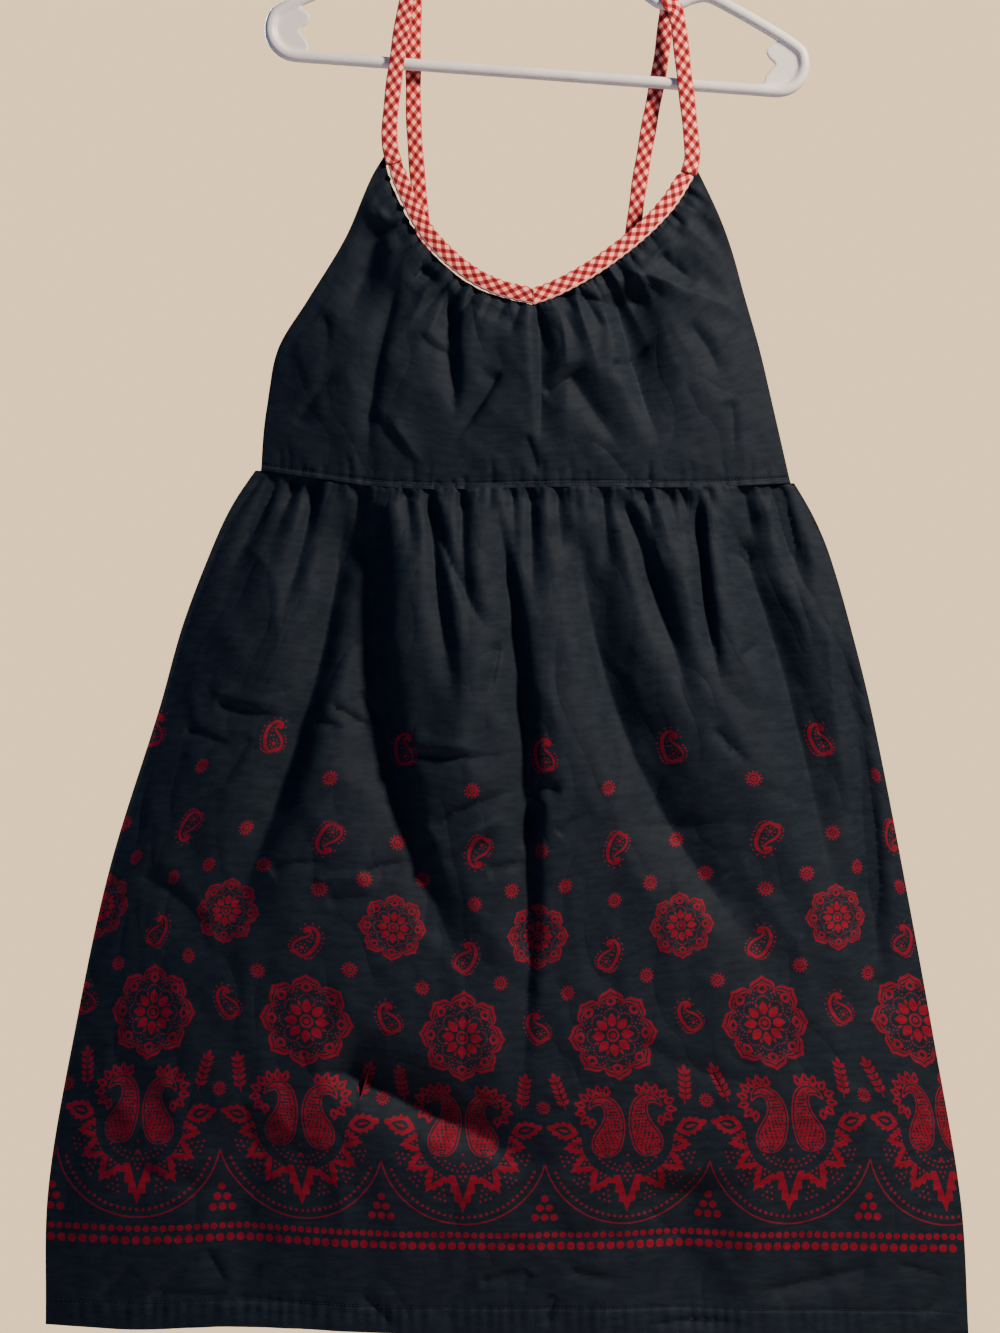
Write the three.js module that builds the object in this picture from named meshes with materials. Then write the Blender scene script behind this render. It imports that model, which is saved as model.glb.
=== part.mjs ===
// Sundress hanging on a tubular plastic hanger: a gathered bodice with a bound scoop neck, two thin
// straps and a gathered skirt with a turned hem, open at the neck, the armholes and the hem.
// Millimetres, +Z up, +X to the viewer's right, and the front of the dress faces -Y.
// The origin is the crown of the hanger's hook, on its inside, where a rail carries it.
// Tables give places as x, right of the origin, and h, the height above the waist seam.

import * as THREE from "three";

// Cloth
const WALL = 1.5; // cotton, as one wall
const TURNED_WALL = 2.8; // where an edge is turned in and stitched
const SEAM_GAP = 0.3; // between pieces that are sewn together
const WAIST_GAP = 0.7; // wider where the gathered edge meets the waist seam at a slant
const NECK_GAP = 0.5; // along the curve of the neck binding
const SEAM_Y = WALL + SEAM_GAP / 2; // outside of a side seam, from the plane of the hanger
const WAIST_Z = -500;
const HEM_DEPTH = 20;
const HEM_RISE = 15; // in the middle, where the skirt stands out most
const BINDING_WIDTH = 12.5;
const BINDING_WALL = 3;
const STRAP_WIDTH = 11;
const STRAP_WALL = 2.2;

// Hanger
const HANGER_TILT = THREE.MathUtils.degToRad(4.2); // it hangs lower on the viewer's right
const TUBE_RADIUS = 4.75;
const HOOK_RADIUS = 3.5; // of the hook's own rod
const HOOK_BEND = 24; // of the hook's centreline
const BAR_Z = -178; // centreline of the bottom bar
const END_BEND = 21; // centreline of the rounded ends
const HALF_SPAN = 208.7; // from the middle to the centreline of an end
const BAR_REACH = 180; // from the middle to where the bar meets the rounded ends
const NOTCH_X = 99.5; // where a strap rests
const NOTCH_RISE = 61.7; // above the bar
const NECK_RISE = 106;
const WEB_THICKNESS = 2.5; // flat web in each rounded end
const TUBE_SIDES = 10;

// The seam that joins bodice and skirt dips a little in the middle.
const WAIST_SEAM = [
  { x: -228, h: 13 },
  { x: -180, h: 5.5 },
  { x: -140, h: -0.5 },
  { x: -90, h: -3.5 },
  { x: 0, h: -1.8 },
  { x: 110, h: -1.4 },
  { x: 186, h: 3 },
];

const HEM_EDGE = [
  { x: -395, h: -653 },
  { x: -320, h: -657 },
  { x: -250, h: -655 },
  { x: -120, h: -660 },
  { x: 60, h: -661 },
  { x: 325, h: -663 },
];

// Sections of the skirt: its side edges, and how far the middles of front and back stand out.
const SKIRT_SECTIONS = [
  { h: 5, left: -228, right: 186, front: 25, back: 16 },
  { h: -26, left: -249, right: 204, front: 36, back: 21 },
  { h: -57, left: -264, right: 217, front: 42, back: 25 },
  { h: -119, left: -288, right: 235, front: 48, back: 29 },
  { h: -182, left: -306, right: 250.5, front: 51, back: 31 },
  { h: -306, left: -345, right: 275, front: 54, back: 34 },
  { h: -431, left: -372, right: 298, front: 56, back: 36 },
  { h: -556, left: -393, right: 319, front: 56, back: 36 },
  { h: -660, left: -395, right: 325, front: 54, back: 35 },
];

// Sections of the bodice: its side edges, how far they and the middles stand out.
const BODICE_SECTIONS = [
  { h: 258, left: -127, right: 106, edge: 9, front: 9, back: 12 },
  { h: 240, left: -143, right: 115, edge: 8.5, front: 11, back: 12 },
  { h: 193, left: -164, right: 136.5, edge: 6, front: 18, back: 12 },
  { h: 146, left: -190, right: 150.5, edge: 3.5, front: 26, back: 12 },
  { h: 107, left: -214, right: 162, edge: SEAM_Y, front: 33, back: 12 },
  { h: 60, left: -222, right: 173, edge: SEAM_Y, front: 32, back: 14 },
  { h: 3, left: -228, right: 186, edge: SEAM_Y, front: 25, back: 16 },
];

// Lower edge of the neck binding, from the left strap round the scoop to the right strap.
const NECKLINE = [
  { x: -129, h: 256 },
  { x: -122.5, h: 232 },
  { x: -98.5, h: 187 },
  { x: -58, h: 152 },
  { x: -15.5, h: 140.5 },
  { x: 17, h: 151.5 },
  { x: 61, h: 181.5 },
  { x: 93, h: 213 },
  { x: 113, h: 245 },
];

const BACK_TOP = 84; // straight top edge of the back bodice
const BACK_OVERHANG = 4.5; // the back swells past the left side seam

// Folds run from one place through another to a third. Width is the half width of a fold's section,
// depth is how far it goes in, or how far out where it is negative, and lean steepens its right side.
const SKIRT_FRONT_FOLDS = [
  { from: [-161, 4], via: [-190, -175], to: [-270, -385], width: 17, depth: 13, lean: 0.1 },
  { from: [-130, 6], via: [-129, -185], to: [-52, -410], width: 20, depth: 19, lean: 0.45 },
  { from: [-47, 0], via: [-15, -240], to: [-29, -510], width: 11, depth: 11, lean: 0.3 },
  { from: [18, 0], via: [72, -215], to: [196, -395], width: 24, depth: 17, lean: -0.2 },
  { from: [51, 0], via: [80, -78], to: [116, -175], width: 9, depth: 9, lean: 0 },
  { from: [114, 2], via: [118, -82], to: [124, -190], width: 7, depth: 9, lean: 0.2 },
  { from: [131, -5], via: [190, -160], to: [228, -385], width: 18, depth: 15, lean: -0.2 },
  { from: [226, -110], via: [249, -260], to: [247, -460], width: 12, depth: 11, lean: 0 },
  { from: [-180, -440], via: [-95, -480], to: [16, -528], width: 19, depth: 12, lean: -0.3 },
  { from: [-60, -15], via: [-70, -160], to: [-50, -300], width: 22, depth: -7, lean: 0 },
  { from: [100, -520], via: [105, -590], to: [110, -664], width: 40, depth: 9, lean: 0 },
  { from: [-230, -470], via: [-238, -570], to: [-240, -664], width: 36, depth: 9, lean: 0 },
];

// Gathers under the waist seam of the front: where each starts, how far it drifts, its length.
const SKIRT_FRONT_GATHERS = [
  { x: -216, drift: -27, length: 60, depth: 6 },
  { x: -197, drift: -20, length: 45, depth: 5 },
  { x: -182, drift: -20, length: 80, depth: 7 },
  { x: -147, drift: -4, length: 50, depth: 6 },
  { x: -113, drift: 6, length: 42, depth: 5 },
  { x: -97, drift: 18, length: 130, depth: 8 },
  { x: -71, drift: 6, length: 95, depth: 7 },
  { x: -31, drift: 3, length: 46, depth: 5 },
  { x: -17, drift: 2, length: 70, depth: 7 },
  { x: 3, drift: 4, length: 44, depth: 5 },
  { x: 38, drift: 6, length: 52, depth: 6 },
  { x: 70, drift: 14, length: 66, depth: 6 },
  { x: 88, drift: 12, length: 44, depth: 5 },
  { x: 100, drift: 8, length: 40, depth: 5 },
  { x: 150, drift: 14, length: 46, depth: 6 },
  { x: 174, drift: 22, length: 76, depth: 7 },
];

const BACK_GATHERS = 16; // hidden in the photograph, so evenly spread with small steps in size

const BODICE_FRONT_FOLDS = [
  { from: [-118, 165], via: [-138, 75], to: [-142, 4], width: 10, depth: 8, lean: 0.2 },
  { from: [-82, 158], via: [-78, 90], to: [-76, 24], width: 8, depth: 7, lean: 0.3 },
  { from: [-14, 138], via: [-13, 75], to: [-14, 2], width: 6, depth: 5, lean: 0.3 },
  { from: [52, 168], via: [104, 128], to: [158, 118], width: 9, depth: -5, lean: 0 },
  { from: [58, 150], via: [72, 95], to: [96, 26], width: 17, depth: 9, lean: -0.2 },
  { from: [5, 96], via: [24, 62], to: [58, 26], width: 12, depth: 6, lean: 0 },
  { from: [-150, 205], via: [-152, 150], to: [-168, 90], width: 13, depth: 6, lean: 0 },
];

const NECK_GATHERS = 14; // short folds that fan out under the binding
const WAIST_PUCKERS = 18; // short folds above the waist seam

// Grid of each panel, columns across and rows down
const SKIRT_FRONT_GRID = { columns: 76, rows: 15 };
const SKIRT_BACK_GRID = { columns: 56, rows: 12 };
const BODICE_FRONT_GRID = { columns: 44, rows: 9 };
const BODICE_BACK_GRID = { columns: 30, rows: 4 };
const BINDING_GRID = { columns: BODICE_FRONT_GRID.columns, rows: 1 };

const { lerp, smoothstep } = THREE.MathUtils;

// A smooth curve through one column of a table, read along another.
function profile(rows, along, name) {
  const rising = rows[0][along] < rows[rows.length - 1][along];
  const sorted = rising ? rows : [...rows].reverse();
  const at = sorted.map((row) => row[along]);
  const value = sorted.map((row) => row[name]);
  const last = at.length - 1;
  const slope = at.map((_, i) => {
    const before = Math.max(i - 1, 0);
    const after = Math.min(i + 1, last);
    return (value[after] - value[before]) / (at[after] - at[before]);
  });
  return (place) => {
    const p = THREE.MathUtils.clamp(place, at[0], at[last]);
    const next = at.findIndex((a) => a > p);
    const i = next < 0 ? last - 1 : next - 1;
    const span = at[i + 1] - at[i];
    const t = (p - at[i]) / span;
    const bend = slope[i] * span * t * (1 - t) ** 2 - slope[i + 1] * span * t * t * (1 - t);
    return lerp(value[i], value[i + 1], t * t * (3 - 2 * t)) + bend;
  };
}

const waistSeam = profile(WAIST_SEAM, "x", "h");
const hemEdge = profile(HEM_EDGE, "x", "h");
const skirtLeft = profile(SKIRT_SECTIONS, "h", "left");
const skirtRight = profile(SKIRT_SECTIONS, "h", "right");
const skirtFront = profile(SKIRT_SECTIONS, "h", "front");
const skirtBack = profile(SKIRT_SECTIONS, "h", "back");
const bodiceLeft = profile(BODICE_SECTIONS, "h", "left");
const bodiceRight = profile(BODICE_SECTIONS, "h", "right");
const bodiceEdge = profile(BODICE_SECTIONS, "h", "edge");
const bodiceFront = profile(BODICE_SECTIONS, "h", "front");
const bodiceBack = profile(BODICE_SECTIONS, "h", "back");

// How full a section is at u, from 0 at one side seam through 1 in the middle to 0 at the other.
function fullness(u) {
  const FLATNESS = 2.6;
  return 1 - Math.abs(2 * u - 1) ** FLATNESS;
}

// Folds die out towards a side seam.
function seamFade(u) {
  const FADE = 0.05;
  return smoothstep(u, 0, FADE) * smoothstep(1 - u, 0, FADE);
}

// Turns a fold's three places into short straight stretches.
function traced({ from, via, to, ...sizes }) {
  const STRETCHES = 12;
  const a = new THREE.Vector2(...from);
  const c = new THREE.Vector2(...to);
  const pull = new THREE.Vector2(...via).multiplyScalar(2);
  pull.addScaledVector(a, -0.5).addScaledVector(c, -0.5);
  return { ...sizes, points: new THREE.QuadraticBezierCurve(a, pull, c).getPoints(STRETCHES) };
}

// A fold's depth at a place: a soft bell across its run, fading in and out along it.
function foldAt(fold, x, h) {
  const FADE_IN = 0.18;
  const FADE_OUT = 0.45;
  const stretches = fold.points.length - 1;
  let nearest = Infinity;
  let side = 1;
  let along = 0;
  for (let i = 0; i < stretches; i++) {
    const a = fold.points[i];
    const b = fold.points[i + 1];
    const run = { x: b.x - a.x, h: b.y - a.y };
    const reach = { x: x - a.x, h: h - a.y };
    const t = THREE.MathUtils.clamp((reach.x * run.x + reach.h * run.h) / (run.x ** 2 + run.h ** 2), 0, 1);
    const distance = Math.hypot(reach.x - t * run.x, reach.h - t * run.h);
    if (distance < nearest) {
      nearest = distance;
      side = Math.sign(reach.h * run.x - reach.x * run.h) || 1;
      along = (i + t) / stretches;
    }
  }
  const width = fold.width * (1 - side * fold.lean);
  const fade = smoothstep(along, 0, FADE_IN) * smoothstep(1 - along, 0, FADE_OUT);
  return fold.depth * fade * Math.exp(-((nearest / width) ** 2));
}

function foldsAt(folds, x, h) {
  return folds.reduce((sum, fold) => sum + foldAt(fold, x, h), 0);
}

// A gather is a short narrow fold that starts at a seam.
function gather({ x, drift, length, depth }) {
  const WIDTH = 5.5;
  const top = waistSeam(x) + length * 0.08;
  const from = [x, top];
  const via = [x + drift * 0.4, top - length / 2];
  return traced({ from, via, to: [x + drift, top - length], width: WIDTH, depth, lean: 0 });
}

function backGather(i) {
  const share = (i + 0.5) / BACK_GATHERS;
  const step = (i * 5) % 7; // uneven sizes that repeat late
  const x = lerp(skirtLeft(0), skirtRight(0), share);
  const room = fullness(share); // shallower towards the side seams
  return gather({ x, drift: (share - 0.5) * 60, length: 60 + 32 * step, depth: (4 + step) * room });
}

function neckGather(i) {
  const share = (i + 0.7) / (NECK_GATHERS + 0.4);
  const start = neckPoint(share);
  const down = neckNormal(share);
  const length = 26 + 9 * ((i * 3) % 5);
  const end = start.clone().addScaledVector(down, -length);
  const middle = start.clone().lerp(end, 0.5);
  const places = { from: start.toArray(), via: middle.toArray(), to: end.toArray() };
  return traced({ ...places, width: 5, depth: 4, lean: 0 });
}

function waistPucker(i) {
  const x = lerp(bodiceLeft(0), bodiceRight(0), (i + 0.5) / WAIST_PUCKERS);
  const seam = waistSeam(x);
  const rise = 16 + 5 * ((i * 4) % 5);
  const places = { from: [x, seam], via: [x + 1, seam + rise / 2], to: [x + 3, seam + rise] };
  return traced({ ...places, width: 5, depth: 2.4, lean: 0 });
}

// The neckline as a curve in the plane of x and h, and its direction towards the neck opening.
const neckline = new THREE.SplineCurve(NECKLINE.map(({ x, h }) => new THREE.Vector2(x, h)));

function neckPoint(u) {
  return neckline.getPointAt(THREE.MathUtils.clamp(u, 0, 1));
}

function neckNormal(u) {
  const run = neckline.getTangentAt(THREE.MathUtils.clamp(u, 0, 1));
  return new THREE.Vector2(-run.y, run.x);
}

const skirtFrontFolds = [...SKIRT_FRONT_FOLDS.map(traced), ...SKIRT_FRONT_GATHERS.map(gather)];
const skirtBackFolds = Array.from({ length: BACK_GATHERS }, (_, i) => backGather(i));
const bodiceFrontFolds = [
  ...BODICE_FRONT_FOLDS.map(traced),
  ...Array.from({ length: NECK_GATHERS }, (_, i) => neckGather(i)),
  ...Array.from({ length: WAIST_PUCKERS }, (_, i) => waistPucker(i)),
];

// Where a point u across and v down the skirt lies, seen from the front.
function skirtPlace(u, v) {
  const ROW_BIAS = 1.35; // closer rows under the gathers
  const top = waistSeam(lerp(skirtLeft(0), skirtRight(0), u)) - WAIST_GAP / 2;
  const bottom = hemEdge(lerp(skirtLeft(-660), skirtRight(-660), u)) + HEM_RISE * fullness(u);
  const h = lerp(top, bottom, v ** ROW_BIAS);
  return { x: lerp(skirtLeft(h), skirtRight(h), u), h };
}

function skirtFrontPoint(u, v) {
  const { x, h } = skirtPlace(u, v);
  const smooth = SEAM_Y + (skirtFront(h) - SEAM_Y) * fullness(u);
  const out = smooth - foldsAt(skirtFrontFolds, x, h) * seamFade(u);
  return new THREE.Vector3(x, -out, WAIST_Z + h);
}

// The back runs from the viewer's right to left, so that its outside is also on the left of its run.
function skirtBackPoint(u, v) {
  const { x, h } = skirtPlace(1 - u, v);
  const smooth = SEAM_Y + (skirtBack(h) - SEAM_Y) * fullness(u);
  const out = smooth - foldsAt(skirtBackFolds, x, h) * seamFade(u);
  return new THREE.Vector3(x, out, WAIST_Z + h);
}

// A patch between the neckline, the waist seam and the two sides.
function bodicePlace(u, v) {
  const under = neckNormal(u).multiplyScalar(-NECK_GAP);
  const top = neckPoint(u).add(under);
  const bottom = { x: lerp(bodiceLeft(0), bodiceRight(0), u), y: 0 };
  bottom.y = waistSeam(bottom.x) + WAIST_GAP / 2;
  const cornerLeft = { x: bodiceLeft(neckPoint(0).y), y: neckPoint(0).y };
  const cornerRight = { x: bodiceRight(neckPoint(1).y), y: neckPoint(1).y };
  const leftH = lerp(cornerLeft.y, waistSeam(bodiceLeft(0)) + WAIST_GAP / 2, v);
  const rightH = lerp(cornerRight.y, waistSeam(bodiceRight(0)) + WAIST_GAP / 2, v);
  const ends = {
    left: { x: bodiceLeft(0), y: waistSeam(bodiceLeft(0)) + WAIST_GAP / 2 },
    right: { x: bodiceRight(0), y: waistSeam(bodiceRight(0)) + WAIST_GAP / 2 },
  };
  const blend = (name, left, right) => {
    const rows = lerp(top[name], bottom[name], v);
    const sides = lerp(left, right, u);
    const upper = lerp(cornerLeft[name], cornerRight[name], u);
    const lower = lerp(ends.left[name], ends.right[name], u);
    return rows + sides - lerp(upper, lower, v);
  };
  return { x: blend("x", bodiceLeft(leftH), bodiceRight(rightH)), h: blend("y", leftH, rightH) };
}

function bodiceFrontOut(u, x, h) {
  return lerp(bodiceEdge(h), bodiceFront(h), fullness(u)) - foldsAt(bodiceFrontFolds, x, h) * seamFade(u);
}

function bodiceFrontPoint(u, v) {
  const { x, h } = bodicePlace(u, v);
  return new THREE.Vector3(x, -bodiceFrontOut(u, x, h), WAIST_Z + h);
}

function bodiceBackPoint(u, v) {
  const across = 1 - u;
  const bottom = waistSeam(lerp(bodiceLeft(0), bodiceRight(0), across)) + WAIST_GAP / 2;
  const h = lerp(BACK_TOP, bottom, v);
  const swell = BACK_OVERHANG * Math.sin(Math.PI * v) * Math.exp(-(((across - 0.035) / 0.03) ** 2));
  const x = lerp(bodiceLeft(h), bodiceRight(h), across) - swell;
  const out = SEAM_Y + (bodiceBack(h) - SEAM_Y) * fullness(u);
  return new THREE.Vector3(x, out, WAIST_Z + h);
}

// The binding covers the neck edge: its lower edge follows the bodice, and its upper edge lies
// inside the scoop.
function bindingPoint(u, v) {
  const edge = neckPoint(u);
  const { x, y: h } = edge.clone().addScaledVector(neckNormal(u), BINDING_WIDTH * (1 - v));
  const out = bodiceFront(edge.y) + (BINDING_WALL - WALL) / 2;
  return new THREE.Vector3(x, -out, WAIST_Z + h);
}

// A closed wall on a grid of points. Its outside is on the given points, and its inside lies a
// thickness away, on the side that the cross product of across and down points to.
function wall({ columns, rows }, point, thickness) {
  const outer = [];
  for (let r = 0; r <= rows; r++)
    for (let c = 0; c <= columns; c++) outer.push(point(c / columns, r / rows));
  const index = (c, r) => r * (columns + 1) + c;
  const clampedPoint = (c, r) =>
    outer[index(THREE.MathUtils.clamp(c, 0, columns), THREE.MathUtils.clamp(r, 0, rows))];
  const inner = outer.map((p, i) => {
    const c = i % (columns + 1);
    const r = Math.floor(i / (columns + 1));
    const across = clampedPoint(c + 1, r).clone().sub(clampedPoint(c - 1, r));
    const down = clampedPoint(c, r + 1).clone().sub(clampedPoint(c, r - 1));
    const inward = across.cross(down);
    if (r === 0 || r === rows) inward.z = 0; // edges are cut level
    return inward.setLength(thickness(c / columns, r / rows)).add(p);
  });
  const inside = outer.length;
  const faces = [];
  const quad = (a, b, c, d) => faces.push(a, b, c, a, c, d);
  for (let r = 0; r < rows; r++)
    for (let c = 0; c < columns; c++) {
      const corners = [index(c, r), index(c, r + 1), index(c + 1, r + 1), index(c + 1, r)];
      quad(...corners);
      quad(...corners.reverse().map((i) => i + inside));
    }
  for (let c = 0; c < columns; c++) {
    quad(index(c, 0), index(c + 1, 0), inside + index(c + 1, 0), inside + index(c, 0));
    quad(index(c + 1, rows), index(c, rows), inside + index(c, rows), inside + index(c + 1, rows));
  }
  for (let r = 0; r < rows; r++) {
    const [first, last] = [index(0, r), index(columns, r)];
    const [firstBelow, lastBelow] = [index(0, r + 1), index(columns, r + 1)];
    quad(firstBelow, first, inside + first, inside + firstBelow);
    quad(last, lastBelow, inside + lastBelow, inside + last);
  }
  const geometry = new THREE.BufferGeometry().setFromPoints([...outer, ...inner]);
  geometry.setIndex(faces);
  geometry.computeVertexNormals();
  return geometry;
}

const plain = () => WALL;

// A turned edge doubles the wall, but not at the side seams.
const turned = (u) => lerp(WALL, TURNED_WALL, seamFade(u));

function hemmed(u, v) {
  const { h } = skirtPlace(u, v);
  return h < hemEdge(0) + HEM_DEPTH + 2 ? turned(u) : WALL;
}

function topTurned(u, v) {
  return v === 0 ? turned(u) : WALL;
}

// A place on the hanger, from its own upright frame into the frame of the dress.
function onHanger(x, rise) {
  return new THREE.Vector3(x, 0, BAR_Z + rise).applyAxisAngle(new THREE.Vector3(0, 1, 0), HANGER_TILT);
}

// A strap's centreline from the back bodice, over the hanger's notch and down to the neck binding.
// Each station has its middle and the direction across the strap, which follows the tube in the notch.
function strapStations({ side, anchorX, backX, frontX }) {
  const CLEARANCE = 0.9; // to the hanger's tube
  const TURN_STEPS = 8;
  const level = new THREE.Vector3(1, 0, 0);
  const tilted = level.clone().applyAxisAngle(new THREE.Vector3(0, 1, 0), HANGER_TILT);
  const offset = TUBE_RADIUS + CLEARANCE + STRAP_WALL;
  const notch = onHanger(side * NOTCH_X, NOTCH_RISE);
  const bar = onHanger(backX, 0);
  const anchor = new THREE.Vector3(anchorX, bodiceBack(BACK_TOP), WAIST_Z + BACK_TOP + SEAM_GAP);
  const behindBar = new THREE.Vector3(backX, offset + 1.2, bar.z);
  const beforeBar = new THREE.Vector3(frontX, -offset - 0.8, bar.z);
  const endU = side < 0 ? 0 : 1;
  const endAcross = neckNormal(endU).multiplyScalar(-side);
  const endPlace = bindingPoint(endU, 0.5);
  const end = {
    middle: endPlace.add(new THREE.Vector3(0, (BINDING_WALL - STRAP_WALL) / 2, 0)),
    across: new THREE.Vector3(endAcross.x, 0, endAcross.y),
  };
  end.middle.add(new THREE.Vector3(-end.across.z, 0, end.across.x).setLength(SEAM_GAP));
  const straight = (from, to, shares) =>
    shares.map((t) => ({ middle: from.clone().lerp(to, t), across: level }));
  const turn = Array.from({ length: TURN_STEPS + 1 }, (_, i) => {
    const angle = (Math.PI * i) / TURN_STEPS;
    const around = new THREE.Vector3(0, offset * Math.cos(angle), offset * Math.sin(angle));
    return { middle: around.add(notch), across: tilted };
  });
  const rise = straight(anchor, behindBar, [0, 0.35, 0.7, 1]);
  const fall = straight(beforeBar, end.middle, [0, 0.55]);
  return [...rise, ...turn, ...fall, end];
}

function strapWall(strap) {
  const stations = strapStations(strap);
  const rows = stations.length - 1;
  const point = (u, v) => {
    const { middle, across } = stations[Math.round(v * rows)];
    return middle.clone().addScaledVector(across, (u - 0.5) * STRAP_WIDTH);
  };
  return wall({ columns: 1, rows }, point, () => STRAP_WALL);
}

const STRAPS = [
  { name: "strap_left", side: -1, anchorX: -90, backX: -108, frontX: -120 },
  { name: "strap_right", side: 1, anchorX: 42, backX: 86, frontX: 99 },
];

// A round rod along a curve in the hanger's upright frame.
function rod(points, radius, steps) {
  const places = points.map(([x, rise]) => new THREE.Vector3(x, 0, BAR_Z + rise));
  const curve = new THREE.CatmullRomCurve3(places);
  const section = new THREE.Shape().absellipse(0, 0, radius, radius, 0, 2 * Math.PI);
  return new THREE.ExtrudeGeometry(section, { steps, extrudePath: curve, curveSegments: TUBE_SIDES });
}

// One shoulder of the hanger from the neck out to the bar, with the strap notch and the rounded end.
const SHOULDER = [
  { x: 50, rise: 85 },
  { x: 84, rise: 67 },
  { x: 92, rise: NOTCH_RISE + 0.6 },
  { x: NOTCH_X, rise: NOTCH_RISE },
  { x: 107, rise: NOTCH_RISE + 0.6 },
  { x: 117, rise: 67.5 },
  { x: 129, rise: 70 },
  { x: 142, rise: 65.5 },
  { x: 184, rise: 45.5 },
];

function shoulderPoints(side) {
  const END_STEPS = 6;
  const end = Array.from({ length: END_STEPS }, (_, i) => {
    const angle = THREE.MathUtils.degToRad(lerp(35, -90, i / (END_STEPS - 1)));
    return [HALF_SPAN - END_BEND + END_BEND * Math.cos(angle), END_BEND + END_BEND * Math.sin(angle)];
  });
  const foot = [[BAR_REACH + 4, 0], [BAR_REACH, 0]];
  const run = [...SHOULDER.map(({ x, rise }) => [x, rise]), ...end, ...foot];
  return run.map(([x, rise]) => [side * x, rise]);
}

function hangerArms() {
  const ARM_STEPS = 100;
  const run = [...shoulderPoints(-1).reverse(), [0, NECK_RISE], ...shoulderPoints(1)];
  return rod(run, TUBE_RADIUS, ARM_STEPS);
}

function hangerBar() {
  const reach = BAR_REACH - SEAM_GAP;
  return rod([[-reach, 0], [reach, 0]], TUBE_RADIUS, 1);
}

// The hook rises from the neck and bends over to the viewer's left.
function hangerHook() {
  const HOOK_STEPS = 26;
  const crown = HOOK_RADIUS - BAR_Z; // centreline of the hook above the bar
  const middle = crown - HOOK_BEND;
  const bend = [-10, 30, 70, 110, 150, 190].map((degrees) => {
    const angle = THREE.MathUtils.degToRad(degrees);
    return [HOOK_BEND * Math.cos(angle), middle + HOOK_BEND * Math.sin(angle)];
  });
  const foot = NECK_RISE + TUBE_RADIUS + SEAM_GAP;
  return rod([[0, foot], [0.5, foot + 9], [14, middle - 21], ...bend], HOOK_RADIUS, HOOK_STEPS);
}

// A flat web with a wavy inner edge fills each rounded end.
function hangerWeb(side) {
  const rim = END_BEND - TUBE_RADIUS - 3 * SEAM_GAP; // clear of the tube's flat sides
  const shape = new THREE.Shape();
  shape.moveTo(-0.1 * rim, -rim);
  shape.absarc(0, 0, rim, -Math.PI / 2 - 0.1, Math.PI / 2 - 0.2, false);
  shape.bezierCurveTo(-2, 0.6 * rim, -12, 0.5 * rim, -4, 0);
  shape.bezierCurveTo(2, -0.3 * rim, -10, -0.5 * rim, -0.1 * rim, -rim);
  const plate = { depth: WEB_THICKNESS, bevelEnabled: false, curveSegments: 6 };
  const geometry = new THREE.ExtrudeGeometry(shape, plate);
  geometry.translate(0, 0, -WEB_THICKNESS / 2).rotateX(Math.PI / 2);
  if (side < 0) geometry.rotateZ(Math.PI);
  return geometry.translate(side * (HALF_SPAN - END_BEND), 0, BAR_Z + END_BEND);
}

const cloth = { metalness: 0, side: THREE.DoubleSide };
const cotton = new THREE.MeshStandardMaterial({ ...cloth, color: 0x20262c, roughness: 0.85 });
const gingham = new THREE.MeshStandardMaterial({ ...cloth, color: 0xb8453e, roughness: 0.9 });
const whitePlastic = new THREE.MeshStandardMaterial({ color: 0xe9e6e4, roughness: 0.35, metalness: 0 });

function piece(name, geometry, material) {
  const mesh = new THREE.Mesh(geometry, material);
  mesh.name = name;
  return mesh;
}

const dress = new THREE.Group();
dress.add(
  piece("bodice_front", wall(BODICE_FRONT_GRID, bodiceFrontPoint, plain), cotton),
  piece("bodice_back", wall(BODICE_BACK_GRID, bodiceBackPoint, topTurned), cotton),
  piece("skirt_front", wall(SKIRT_FRONT_GRID, skirtFrontPoint, hemmed), cotton),
  piece("skirt_back", wall(SKIRT_BACK_GRID, skirtBackPoint, hemmed), cotton),
  piece("neck_binding", wall(BINDING_GRID, bindingPoint, () => BINDING_WALL), gingham),
);
for (const strap of STRAPS) dress.add(piece(strap.name, strapWall(strap), gingham));

const hanger = new THREE.Group();
hanger.rotation.y = HANGER_TILT;
hanger.add(
  piece("hanger_bar", hangerBar(), whitePlastic),
  piece("hanger_arms", hangerArms(), whitePlastic),
  piece("hanger_hook", hangerHook(), whitePlastic),
  piece("hanger_web_left", hangerWeb(-1), whitePlastic),
  piece("hanger_web_right", hangerWeb(1), whitePlastic),
);

const part = new THREE.Group();
part.add(dress, hanger);

export default part;
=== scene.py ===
# A cotton sundress on a white tubular hanger. The cloth is dyed dark navy and has a red border print, and
# the neck binding and the straps are gingham cut on the bias.
# Tables are in millimetres. x is right of the hook and h above the waist seam, as in the CAD part, and the
# front faces -Y. U and V run across and up the flat cloth of a panel. Meshes are made in metres.

import math

import bpy
import numpy as np
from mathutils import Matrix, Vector, kdtree, noise
from mathutils.geometry import delaunay_2d_cdt


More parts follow.
